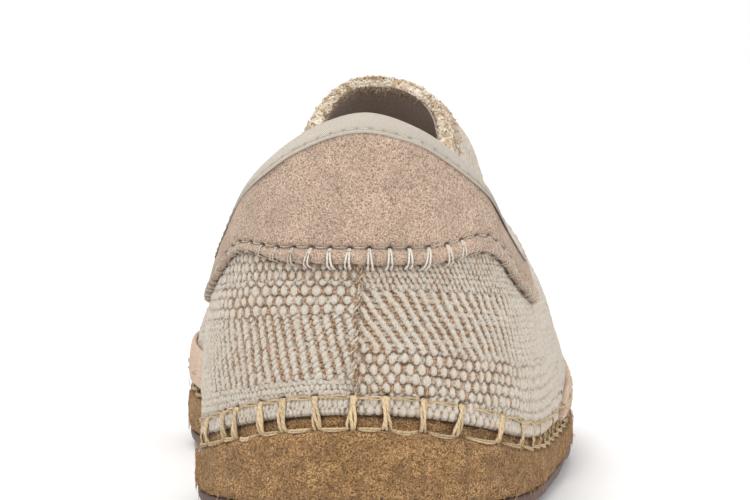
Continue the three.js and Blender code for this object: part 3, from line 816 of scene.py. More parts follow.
class SlipOnSizes(PropertyGroup):
    """Sizes of the dressed details."""

    cord: FloatProperty(name="Stitch cord", description="Thickness of one strand of the blanket stitch",
                        default=0.00056, min=0.0001, max=0.002, unit="LENGTH", precision=5)
    thread: FloatProperty(name="White thread", description="Thickness of one strand over the rolled edge",
                          default=0.0005, min=0.0001, max=0.002, unit="LENGTH", precision=5)
    float_rise: FloatProperty(name="Float rise", description="Scale of the weave's relief", default=1.0, min=0, max=2)
    fray: IntProperty(name="Frayed ends", description="Curled yarn ends along the instep's rim", default=2150, min=0)
    fibres: IntProperty(name="Jute fibres", description="Loose fibres over the platform", default=3200, min=0)


def colour_property(name, description, *screen):
    """A colour of the add-on, its default as it looks on screen."""
    return FloatVectorProperty(name=name, description=description, subtype="COLOR", size=3, default=tint(*screen))


class SlipOnColours(PropertyGroup):
    """Colours of the finishes."""

    ecru: colour_property("Ecru yarn", "Floats of the weave", 216, 207, 193)
    tan: colour_property("Tan yarn", "Ground of the weave", 189, 156, 126)
    # Colour of the painted shade deep in the gaps of the weave
    shade: colour_property("Gaps", "Deep between the yarns", 92, 72, 54)
    suede: colour_property("Suede", "Heel patch and toe band", 200, 174, 153)
    tape: colour_property("Tape", "Twill tape round the collar", 229, 218, 203)
    jute: colour_property("Jute", "Platform", 176, 138, 95)
    cord: colour_property("Cord", "Blanket stitch", 218, 193, 154)
    lining: colour_property("Lining", "Inside of the upper", 214, 200, 192)
    rubber: colour_property("Rubber", "Outsole", 108, 86, 80)


class SLIPON_OT_heel_cloth(Operator):
    """Woven cloth round the heel, each float of yarn raised"""

    bl_idname = "slipon.heel_cloth"
    bl_label = "Heel cloth"

    def execute(self, context):
        sizes, colours = context.scene.slipon_sizes, context.scene.slipon_colours
        t = even_places(-HEEL_CLOTH_END, HEEL_CLOTH_END, HEEL_CLOTH_STEP)[None, :]
        rows = np.linspace(0, 1, HEEL_CLOTH_ROWS)[:, None]
        low, high = between(EDGE, t) - HEM_DROP, patch_low(t) + 1.6
        height = low + (high - low) * rows
        t = np.broadcast_to(t, height.shape)
        u = girth(t)
        v = fabric_height(t, height)
        flat, normal = skin_at(t, height, 0.0)
        left = floats(WEAVE_MEDIAL, *warped(flat, u, v, 40), WEAVE_SEED_MEDIAL)
        right = floats(WEAVE_LATERAL, *warped(flat, u, v, 42), WEAVE_SEED_LATERAL)
        ragged = 0.8 * np.sin(v * 1.9) + 1.1 * lumps(flat, 1.6, 44)
        rise, yarn, depth = mingle(left, right, smooth_step(0.5 + u + ragged))
        quiet = smooth_step((np.abs(u) - 34) / 22)
        yarn = yarn + (1 - yarn) * 0.6 * quiet
        rise = rise * (1 - 0.35 * quiet)
        depth = depth * (1 - 0.4 * quiet)
        seam = np.exp(-((u + 0.25 * ragged) / 0.9) ** 2)
        messy = np.exp(-(u / 3.0) ** 2) * (0.5 + 0.5 * lumps(flat, 1.3, 45))
        rise = rise * (1 - 0.5 * seam) - 0.2 * seam + 0.35 * messy
        yarn = yarn * (1 - 0.4 * seam) - 0.4 * messy * (lumps(flat, 0.9, 46) + 0.6)
        dent = hole_dents(u, height, BLANKET, run_heights(place_of(BLANKET))[0], 0.8)
        tuck = smooth_step((height - high + 3.4) / 2.6)
        hem = np.exp(-((height - low) / 0.5) ** 2)
        pressed = np.exp(-((height - run_heights(t)[0]) / 0.9) ** 2)
        grow = -CLOTH_SINK + rise * sizes.float_rise - 1.1 * dent - 0.5 * tuck - 0.7 * hem - 0.35 * pressed
        grow += 0.3 * lumps(flat, 9.0, 2) + 0.12 * lumps(flat, 2.2, 6)
        points = flat + normal * grow[..., None]
        inner, _normal = skin_at(t[:1], height[:1], -CLOTH_THICK)
        # Painted shade under the suede patch's rolled edge, at the blanket stitch's holes and along the turned-in hem
        under = np.exp(-((patch_low(t) - height) / 1.5) ** 2) * (0.35 + 0.5 * lumps(flat, 1.2, 47))
        depth = np.clip(depth * (1 - 0.6 * seam) + 1.6 * dent + 0.5 * hem + under, 0, 1)
        piece = lay_grid("heel_cloth", np.concatenate([inner, points]), np.stack([doubled(u), doubled(v)], -1),
                         values={"yarn": doubled(np.clip(yarn, 0, 1)), "depth": doubled(depth)})
        material = cloth_material("woven cloth", tuple(colours.ecru), tuple(colours.tan), tuple(colours.shade))
        finish(piece, material, "textile", "upper")
        return {"FINISHED"}


def warped(flat, u, v, seed):
    """The weave's coordinates, pushed about a little as in soft cloth."""
    return u + 0.5 * lumps(flat, 6.0, seed), v + 0.35 * lumps(flat, 5.0, seed + 1)


def doubled(rows):
    """The rows with the first one twice, for the edge that is turned in."""
    return np.concatenate([rows[:1], rows])


def fabric_height(t, height):
    """Height measured on the cloth, whose rows drop towards the sides."""
    edge = between(EDGE, t)
    return height + (EDGE[0] - edge) * (1 - 0.55 * np.clip((height - edge) / 30, 0, 1))


def up_to_ridge(t, height):
    """Length of the cloth from a height on the wall to the last's ridge, column by column."""
    lift = np.linspace(0, 1, 60)[:, None]
    wall = last_point(t[:1], lift)
    climb = travelled(wall)
    length = np.empty(height.shape)
    for k in range(t.shape[1]):
        length[:, k] = climb[-1, k] - np.interp(height[:, k], np.maximum.accumulate(wall[:, k, 2]), climb[:, k])
    return length


def stacked_bands(bands, top=110.0):
    """The heel's bands again above them, so that they fill a higher wall."""
    again = []
    shift = bands[-1][0] - bands[1][0]
    for turn in range(1, 4):
        again += [(low + shift * turn, high + shift * turn, *rest) for low, high, *rest in bands[1:-1]]
    return (*bands[:-1], *(band for band in again if band[0] < top))


class SLIPON_OT_side_cloth(Operator):
    """Woven cloth along both sides and over the forefoot"""

    bl_idname = "slipon.side_cloth"
    bl_label = "Side and vamp cloth"

    def execute(self, context):
        sizes, colours = context.scene.slipon_sizes, context.scene.slipon_colours
        material = cloth_material("woven cloth, sides", tuple(colours.ecru), tuple(colours.tan), tuple(colours.shade))
        for name, side in (("cloth_medial", -1), ("cloth_lateral", 1)):
            self.quarter(name, side, sizes, material)
        self.vamp(sizes, material)
        return {"FINISHED"}

    @staticmethod
    def quarter(name, side, sizes, material):
        """Cloth of one side, from the heel's cloth to the instep. side is -1 for medial, 1 for lateral."""
        fraction = np.linspace(0, 1, SIDE_COLUMNS)
        start = HEEL_CLOTH_END - 0.04
        w = start + (RIM_END - start) * (1 - (1 - fraction) ** 1.25)
        t = (w if side > 0 else -w[::-1])[None, :]
        rows = np.linspace(0, 1, SIDE_ROWS)[:, None]
        low = between(EDGE, t) - HEM_DROP
        ridge = curve(RIDGE, 1, between(RIDGE_AT, t))
        high = np.minimum(between(COLLAR, t) - 0.6, ridge - 0.02)
        height = low + (high - low) * rows
        t = np.broadcast_to(t, height.shape)
        u, v = girth(t), fabric_height(t, height)
        flat, normal = skin_at(t, height, 0.0)
        if side > 0:
            bands = floats(stacked_bands(WEAVE_LATERAL), *warped(flat, u, v, 42), WEAVE_SEED_LATERAL)
        else:
            bands = floats(stacked_bands(WEAVE_MEDIAL), *warped(flat, u, v, 40), WEAVE_SEED_MEDIAL)
        forward = np.abs(u) - abs(girth(side * RIM_END)) + girth(RIM_END)
        vamp = floats(WEAVE_VAMP, forward, side * up_to_ridge(t, height), WEAVE_SEED_VAMP)
        share = smooth_step((np.abs(t) - 4.9) / 0.9) * smooth_step((height - between(EDGE, t) - 6) / 3)
        rise, yarn, depth = mingle(bands, vamp, share)
        yarn = yarn + (1 - yarn) * SIDE_WHITE
        dent = hole_dents(u, height, BLANKET, run_heights(place_of(BLANKET))[0], 0.8)
        hem = np.exp(-((height - low) / 0.5) ** 2)
        grow = -CLOTH_SINK + SIDE_RELIEF * rise * sizes.float_rise - 1.1 * dent - 0.7 * hem + 0.3 * lumps(flat, 9.0, 2)
        grow -= 1.2 * smooth_step((HEEL_CLOTH_END - 0.01 - np.abs(t)) / 0.03)
        points = flat + normal * grow[..., None]
        inner, _normal = skin_at(t[:1], height[:1], -CLOTH_THICK)
        # Painted shade in the gaps, lighter here, and at the blanket stitch's holes
        depth = np.clip(depth * SIDE_GAP_SHADE + 1.6 * dent, 0, 1)
        piece = lay_grid(name, np.concatenate([inner, points]), np.stack([doubled(u), doubled(v)], -1),
                         values={"yarn": doubled(yarn), "depth": doubled(depth)})
        finish(piece, material, "textile")

    @staticmethod
    def vamp(sizes, material):
        """Cloth over the forefoot, from the opening to the toe."""
        lift = np.linspace(0, 2, VAMP_ROWS)[:, None]
        w = np.concatenate([np.linspace(RIM_END, LAST - 1, VAMP_COLUMNS),
                            LAST - 1 + np.linspace(0, 1, VAMP_TOE_COLUMNS)[1:]])[None, :]
        flat, normal = skin_point(-w, lift, 0.0)
        climb = travelled(flat)
        v = climb - climb[len(lift) // 2]
        u = np.broadcast_to(travelled(flat[len(lift) // 4])[None, :] + girth(RIM_END), v.shape)
        up = np.minimum(climb, climb[-1] - climb)
        over = floats(WEAVE_VAMP, u, v, WEAVE_SEED_VAMP)
        hem = mingle(*(floats(bands[:2], u, up + EDGE[0], WEAVE_SEED_HEM) for bands in (WEAVE_MEDIAL, WEAVE_LATERAL)),
                     (lift > 1) + 0 * u)
        rise, yarn, depth = mingle(hem, over, smooth_step((up - 6) / 3))
        yarn = yarn + (1 - yarn) * SIDE_WHITE
        grow = -CLOTH_SINK + SIDE_RELIEF * rise * sizes.float_rise - crease_depth(flat) * smooth_step(up / 14)
        grow += 0.3 * lumps(flat, 9.0, 2)
        piece = lay_grid("cloth_vamp", flat + normal * grow[..., None], np.stack([u, v], -1),
                         values={"yarn": yarn, "depth": SIDE_GAP_SHADE * depth})
        finish(piece, material, "textile")


class SLIPON_OT_lining(Operator):
    """Lining inside the upper, and the sock that the foot stands on"""

    bl_idname = "slipon.lining"
    bl_label = "Lining and sock"

    def execute(self, context):
        colours = context.scene.slipon_colours
        cloth = tuple(colours.lining)
        material = plain_material("lining cloth", cloth, scaled(cloth, 0.6), 0.95, 1700.0, 0.0002)
        back = np.linspace(-1, 1, LINING_COLUMNS)
        t = (RIM_END * np.sign(back) * (1 - (1 - np.abs(back)) ** 1.2))[None, :]
        rows = np.linspace(0, 1, LINING_ROWS)[:, None]
        low = between(EDGE, t) - LINING_DROP
        ridge = curve(RIDGE, 1, between(RIDGE_AT, t))
        high = np.minimum(between(COLLAR, t) - 0.9, ridge - WALL - 0.4)
        height = np.maximum(low + (high - low) * rows, 0)
        t = np.broadcast_to(t, height.shape)
        points, _normal = skin_at(t, np.maximum(height, between(EDGE, t) + 0.4), -WALL)
        foot = height < between(EDGE, t) + 0.4
        points[..., 2] = np.where(foot, height, points[..., 2])
        piece = lay_grid("lining_back", points[:, ::-1], np.stack([girth(t), height], -1)[:, ::-1])
        finish(piece, material, "lining")
        lift = np.linspace(0, 2, LINING_FRONT_ROWS)[:, None]
        w = np.linspace(RIM_END, LAST, LINING_FRONT_COLUMNS)[None, :]
        points, _normal = skin_point(w, lift, -WALL)
        skirt = points[[0, -1]].copy()
        skirt[..., 2] -= LINING_DROP
        points = np.concatenate([skirt[:1], points, skirt[1:]])
        piece = lay_grid("lining_front", points)
        finish(piece, material, "lining")
        self.sock()
        return {"FINISHED"}

    @staticmethod
    def sock():
        """Flat sock in the bed of the platform."""
        t = even_places(-LAST, LAST, SOCK_STEP)[None, :]
        profile = ((-4.4, 0.0), (-4.4, 3.6), (-5.2, 4.2), (-9.0, 4.3), (-16.0, 4.0))
        rings = []
        for outward, up in profile:
            x, y, _out = sole_point(t[0], outward)
            rings.append(np.stack([x, y, curve(BED, 1, y) + up], -1))
        middle = rings[-1].copy()
        x = between(SIDE, t[0]) * 0.5 + between(SIDE, -t[0]) * 0.5
        middle[:, 0] = x * 0.99 + middle[:, 0] * 0.01
        rings.append(middle)
        points = np.stack(rings)
        material = plain_material("sock cloth", tint(196, 180, 160), tint(170, 152, 132), 0.95, 1500.0, 0.0002)
        piece = lay_grid("sock", points, closed=True)
        finish(piece, material, "lining", "insole")


class SLIPON_OT_heel_patch(Operator):
    """Suede patch round the heel, its lower edge rolled, with a row of needle holes"""

    bl_idname = "slipon.heel_patch"
    bl_label = "Heel patch"

    def execute(self, context):
        colours = context.scene.slipon_colours
        t = even_places(-PATCH_END, PATCH_END, PATCH_STEP)[None, :]
        low = patch_low(t)
        high = between(COLLAR, t) - 2.2 * tape_share(t)
        lip = np.minimum(lip_height(t), high - low - 1.5)
        crease = low + lip
        roll = ((0.0, 0.2), (-0.08, 0.7), (-0.1, 1.3), (-0.04, 1.9), (0.08, 2.35), (0.2, 2.65), (0.32, 2.8),
                (0.45, 2.85), (0.58, 2.8), (0.7, 2.65), (0.8, 2.4), (0.9, 2.0), (1.0, 1.5))
        rows, grows = [], []
        for part, grow in roll:
            rows.append(low + lip * part)
            grows.append(np.full(t.shape, grow))
        for part in np.linspace(0, 1, PATCH_ROWS)[1:]:
            above = (high - crease) * part
            rows.append(crease + above)
            grows.append(1.5 + 0.45 * smooth_step(above / 2.0) - 0.06 * smooth_step((above - (high - crease) + 3) / 3))
        outer_rows = len(rows)
        slim = 1 - 0.5 * round_heel(girth(t))
        grows = [np.where(grow > 1.5, 1.5 + (grow - 1.5) * slim, grow) for grow in grows]
        ends = smooth_step((PATCH_END - np.abs(t)) / 0.22)
        grows = [grow * (0.5 + 0.5 * ends) for grow in grows]
        rows.append(high + 0.1)
        grows.append(np.full(t.shape, 0.9))
        for part in (1.0, 0.75, 0.5, 0.25, 0.0):
            rows.append(low + (high - low) * part)
            grows.append(np.full(t.shape, 0.2))
        height, grow = np.concatenate(rows), np.concatenate(grows)
        t = np.broadcast_to(t, height.shape)
        u = girth(t)
        outer = np.arange(len(height))[:, None] < outer_rows
        holes, hole_height = needle_holes()
        row_height = np.interp(u, holes, hole_height)
        flat, _normal = skin_at(t, height, 0.0)
        dent = hole_dents(u, height, holes, hole_height, 0.52) * outer
        pulled = hole_dents(u, 0 * u, holes, 0 * holes, 0.8) * (height < row_height) * outer
        pulled = pulled * (1 - 0.75 * round_heel(u))
        grow = grow - 0.75 * dent - 0.45 * pulled - 0.3 * np.exp(-((height - row_height) / 0.7) ** 2) * outer
        grow += (0.16 * lumps(flat, 5.0, 5) + 0.3 * lumps(flat, 14.0, 7) + 0.07 * lumps(flat, 1.1, 9)) * outer
        height = height + (0.3 * lumps(flat, 4.5, 12) + 0.3 * pulled) * (height < crease)
        points, _normal = skin_at(t, height, grow)
        points = np.concatenate([points, points[:1]])
        dent = np.concatenate([dent, dent[:1]])
        # Painted shade at the needle holes
        piece = lay_grid("heel_suede", points, closed=True, values={"pit": np.clip(dent * 1.5, 0, 1) ** 1.3})
        suede = tuple(colours.suede)
        material = suede_material("suede", suede, scaled(suede, 0.42), scaled(suede, 1.55))
        finish(piece, material, "suede", "heel_patch")
        self.threads(context, holes, hole_height)
        return {"FINISHED"}

    def threads(self, context, holes, hole_height):
        """White double threads over the rolled edge, and the dashes between the holes."""
        radius = context.scene.slipon_sizes.thread / MM / 2
        strands = Strands()
        grows = np.array([0.6, 1.7, 2.45, 2.85, 3.02, 2.75, 1.7, 0.6, 0.1])
        parts = np.array([0.02, 0.08, 0.3, 0.55, 0.85, 1.08, 1.2, 1.3, 1.33])
        for k, (place, top) in enumerate(zip(holes, hole_height)):
            aside_share = smooth_step((abs(place - 6) - 12) / 12)
            lean = 1.6 * (hashed(k, 21) - 0.5)
            reach = 1 - 0.16 * aside_share - 0.1 * hashed(k, 3)
            for strand in (-1, 1):
                u = place + strand * radius * 1.15 * (0.5 + parts) + lean * parts
                t = place_of(u)
                height = top - (top - patch_low(t) + 0.5) * parts * reach
                slim = 1 - 0.5 * round_heel(place)
                grow = np.where(grows > 1.5, 1.5 + (grows - 1.5) * slim, grows)
                point, _normal = skin_at(t, height, grow - 0.22 * aside_share + 0.06 * strand)
                strands.add(point, radius * (1 - 0.4 * aside_share) * np.array([0.8, 1, 1, 1, 1, 1, 1, 0.9, 0.6]),
                            0.75 + 0.25 * hashed(k, strand + 4) - 0.25 * aside_share)
        for k in range(len(holes) - 1):
            part = np.linspace(0.2, 0.8, THREAD_POINTS)
            u = holes[k] + (holes[k + 1] - holes[k]) * part
            height = hole_height[k] + (hole_height[k + 1] - hole_height[k]) * part + 0.12
            sink = np.array([0.9, 1.3, 1.55, 1.62, 1.65, 1.62, 1.55, 1.3, 0.9])
            point, _normal = skin_at(place_of(u), height, sink)
            # The dashes lie sunk in a groove and get darker tones as painted shade
            strands.add(point, np.full(THREAD_POINTS, radius * 0.62), 0.2 + 0.4 * hashed(k, 31))
        material = strand_material("white thread", tint(188, 170, 148), tint(238, 232, 222), twist=0.9)
        finish(strands.lay("edge_threads", 6), material, "frayed_yarn")


def round_heel(length):
    """0 at the back of the heel, 1 on its sides, at a distance round it."""
    return smooth_step((np.abs(length) - HEEL_SIDES_FROM) / HEEL_SIDES_OVER)


def lip_height(t):
    """Height of the rolled edge, narrower round the medial side."""
    return LIP_HEIGHT * (1 - 0.5 * smooth_step((-girth(t) - 12) / 16))


def needle_holes():
    """Distances round the heel and heights of the needle holes."""
    end = girth(4.05)
    places = stitch_places(HOLE_PITCH, -end, end)
    places = places + 0.7 * (hashed(np.arange(len(places)), 7) - 0.5)
    t = place_of(places)
    return places, patch_low(t) + lip_height(t) + 0.2


def tape_share(t):
    """Share of the tape's full height, which falls towards its ends."""
    return 1 - TAPE_NARROW_BY * smooth_step((np.abs(t) - TAPE_NARROW_FROM) / TAPE_NARROW_OVER)


def tape_flush(t):
    """0 at the back of the heel, 1 along the sides, where the tape lies flush."""
    return smooth_step((np.abs(t) - TAPE_FLUSH_FROM) / TAPE_FLUSH_OVER)


class SLIPON_OT_tape(Operator):
    """Twill tape folded over the collar, with its row of stitches"""

    bl_idname = "slipon.tape"
    bl_label = "Collar tape"

    def execute(self, context):
        colours = context.scene.slipon_colours
        t = even_places(-TAPE_END, TAPE_END, TAPE_STEP)[None, :]
        fold = ((-4.5, 1.95), (-4.58, 2.2), (-4.46, 2.45), (-4.15, 2.6), (-3.85, 2.58), (-3.65, 2.46), (-3.45, 2.46),
                (-3.2, 2.58), (-2.7, 2.62), (-2.1, 2.58), (-1.5, 2.5), (-0.95, 2.25), (-0.5, 1.85), (-0.12, 1.2),
                (0.0, 0.3), (0.0, -0.8), (-0.12, -1.7), (-0.5, -2.4), (-1.1, -2.8), (-2.2, -2.95), (-3.3, -2.95),
                (-4.2, -2.9), (-4.5, -2.7), (-4.3, -2.35), (-3.2, -2.3), (-1.6, -2.1), (-1.0, -1.2), (-0.9, 0.2),
                (-1.3, 1.4), (-2.1, 1.9), (-3.2, 1.95))
        down, grow = columns_of(fold)
        u = girth(t)
        wave = 0.16 * lumps(np.stack([u, u * 0, u * 0], -1), 7.0, 4)
        thin = tape_share(t)
        height = between(COLLAR, t) + down * thin + wave * (down < -2.6)
        spread = np.broadcast_to(t, height.shape)
        row_grow = np.where(grow > 1.9, 1.9 + (grow - 1.9) * (1 - 0.75 * tape_flush(t)), grow + 0 * t)
        pricks = hole_dents(u + 0 * height, down + 0 * t, *self.row(), 0.32)
        row_grow = row_grow - 0.25 * pricks * (row_grow > 2)
        points, _normal = skin_at(spread, height, row_grow)
        points = np.concatenate([points, points[:1]])
        across = np.concatenate([[0], np.cumsum(np.hypot(np.diff(down[:, 0]), np.diff(grow[:, 0])))])
        across = np.concatenate([across, across[-1:] + 1.4])
        uv = np.stack(np.broadcast_arrays(u, across[:, None]), -1)
        # Painted shade in the stitch pricks
        prick_shade = np.concatenate([pricks, pricks[:1]]) ** 1.3
        piece = lay_grid("collar_tape", points, uv, closed=True, values={"pit": prick_shade})
        material = tape_material("twill tape", tuple(colours.tape), scaled(colours.tape, 0.62))
        finish(piece, material, "twill_tape", "collar_binding")
        self.stitches()
        return {"FINISHED"}

    @staticmethod
    def row():
        """Distances round the collar and depths below it of the stitch row's pricks."""
        end = girth(TAPE_END) - 3
        places = stitch_places(TAPE_STITCH_PITCH, -end, end)
        return places, np.full(len(places), -3.55)

    def stitches(self):
        """Short threads from prick to prick."""
        places, depths = self.row()
        strands = Strands()
        for k in range(len(places) - 1):
            part = np.linspace(0.14, 0.86, 7)
            t = place_of(places[k] + (places[k + 1] - places[k]) * part)
            height = between(COLLAR, t) + depths[k] * tape_share(t)
            point, _normal = skin_at(t, height, 2.3 + 0.3 * np.sin(part * math.pi) - 0.45 * tape_flush(t))
            strands.add(point, np.array([0.12, 0.15, 0.17, 0.17, 0.17, 0.15, 0.12]), 0.5 + 0.4 * hashed(k, 11))
        material = strand_material("tape thread", tint(190, 178, 160), tint(228, 219, 204), twist=0.7)
        finish(strands.lay("tape_stitches", 5), material, "twill_tape")


def rim_path(spacing, below):
    """Even places along the instep's rim, from the medial to the lateral end of the tape.

    Gives the points there and the directions out of the cloth, up over the rim and along it.
    """
    fraction = np.linspace(0, 1, 400)
    end = rim_end(below)
    w = end - (end - TAPE_END) * (1 - fraction) ** 2
    ridge = curve(RIDGE, 1, between(RIDGE_AT, w))
    sides = []
    for side in (-1, 1):
        height = np.minimum(between(COLLAR, side * w) - below, ridge - 0.04)
        sides.append(skin_at(side * w, height, 0.0))
    points = np.concatenate([sides[0][0], sides[1][0][::-1]])
    normals = np.concatenate([sides[0][1], sides[1][1][::-1]])
    length = travelled(points)
    places = np.linspace(0, length[-1], round(length[-1] / spacing) + 1)
    points, normals = (np.stack([np.interp(places, length, table[:, k]) for k in range(3)], -1)
                       for table in (points, normals))
    normals = unit(normals)
    run = unit(np.gradient(points, axis=0))
    up = unit(np.cross(normals, run))
    return points, normals, np.where(up[:, 2:3] < 0, -up, up), run


class SLIPON_OT_fringe(Operator):
    """Frayed raw rim of the cloth over the instep"""

    bl_idname = "slipon.fringe"
    bl_label = "Frayed rim"

    def execute(self, context):
        sizes = context.scene.slipon_sizes
        rim = rim_path(RIM_STEP, FRINGE_HEIGHT)
        points, normals, up, _run = rim
        ring = []
        for out, rise in ((-1.9, 1.4), (-2.05, 1.95), (-1.8, 2.4), (-1.3, 2.7), (-0.5, 2.75), (0.3, 2.45), (0.75, 1.8),
                          (0.85, 0.8), (0.7, -0.2), (0.1, -0.4), (-1.0, 1.0)):
            ring.append(points + normals * out + up * rise)
        ring.append(ring[0])
        band = np.stack(ring)
        outward = unit(band - band.mean(0))
        band = band + outward * (0.3 * lumps(band, 1.1, 6) + 0.2 * lumps(band, 2.6, 16))[..., None]
        band[-1] = band[0]
        tuft = 0.55 + 0.8 * lumps(band, 1.2, 21)
        piece = lay_grid("frayed_rim", band, closed=True, values={"tone": np.clip(tuft, 0, 1)})
        material = strand_material("frayed yarn", tint(184, 155, 120), tint(236, 227, 211), 1800.0)
        finish(piece, material, "frayed_yarn", "throat_fringe")
        self.ends(sizes, rim, material)
        return {"FINISHED"}

    def ends(self, sizes, rim, material):
        """Small curled loops of yarn all over the raw rim, and a few loose hairs."""
        points, normals, up, run = rim
        rng = np.random.default_rng(SEED_RIM)
        count = sizes.fray
        k = rng.integers(0, len(points), count)
        round_rim = rng.uniform(-0.35, 1.25, count) * math.pi
        out, rise = -0.6 + 1.3 * np.cos(round_rim), 1.9 + 0.75 * np.sin(round_rim)
        root = points[k] + normals[k] * out[:, None] + up[k] * rise[:, None]
        away = up[k] * (0.15 + np.sin(round_rim))[:, None] + normals[k] * np.cos(round_rim)[:, None]
        away += run[k] * rng.normal(0, 0.45, count)[:, None]
        away = unit(away)
        loops, radii = self.loops(rng, root, away, (0.16, 3.0, 0.075), (0.35, 1.0), 0.12, (0.13, 0.27))
        tone = np.clip(lumps(root, 1.3, 33) * 0.9 + 0.62 + rng.normal(0, 0.14, count), 0, 1)
        piece = lay_strands("frayed_ends", loops, radii, 5, tone)
        finish(piece, material, "frayed_yarn")
        self.sides(rng, rim, material)
        few = rng.integers(0, count, RIM_HAIRS)
        hairs = hairs_from(rng, root[few], away[few], (0.5, 1.5), 0.8, LOOP_POINTS)
        piece = lay_strands("frayed_hairs", hairs, np.full(hairs.shape[:2], 0.05), 4, tone[few])
        finish(piece, material, "frayed_yarn")

    @staticmethod
    def loops(rng, root, away, tall, wide, sunk, thick):
        """Paths and radii of curled loops that stand on their roots, their ends sunk into the rim.

        tall has the least height and the shape and scale of what is added to it.
        """
        count = len(root)
        across = unit(np.cross(away, rng.normal(0, 1, (count, 3))))
        part = np.linspace(0, 1, LOOP_POINTS)[None, :, None]
        high = (tall[0] + rng.gamma(*tall[1:], count))[:, None, None]
        broad = rng.uniform(*wide, count)[:, None, None]
        loops = root[:, None] + away[:, None] * (np.sin(part * math.pi) * high - sunk)
        loops = loops + across[:, None] * (part - 0.5) * broad
        loops = loops + rng.normal(0, 0.05, loops.shape)
        return loops, rng.uniform(*thick, count)[:, None] * LOOP_TAPER

    def sides(self, rng, rim, material):
        """Looser loops that hang down the outside and the inside of the rim."""
        points, normals, up, run = rim
        count = RIM_SIDE_LOOPS
        k = rng.integers(0, len(points), count)
        outside = rng.uniform(size=count) < 0.55
        drop = rng.beta(1.0, 1.3, count)
        out = np.where(outside, 0.55, -2.3)
        rise = np.where(outside, 1.2 - 6.0 * drop, 2.7 - 4.6 * drop)
        root = points[k] + normals[k] * out[:, None] + up[k] * rise[:, None]
        facing = np.where(outside, 1.0, -1.0)[:, None]
        away = normals[k] * facing + up[k] * rng.normal(0.1, 0.5, count)[:, None]
        away = unit(away + run[k] * rng.normal(0, 0.5, count)[:, None])
        loops, radii = self.loops(rng, root, away, (0.2, 2.5, 0.08), (0.4, 1.1), 0.1, (0.12, 0.24))
        # Painted shade: the loops inside the rim get a dark tone; those outside get a middling one
        tone = np.where(outside, 0.3 + 0.5 * lumps(root, 1.3, 33), 0.15) + rng.normal(0, 0.15, count)
        piece = lay_strands("frayed_sides", loops, radii, 5, np.clip(tone, 0, 1))
        finish(piece, material, "frayed_yarn")


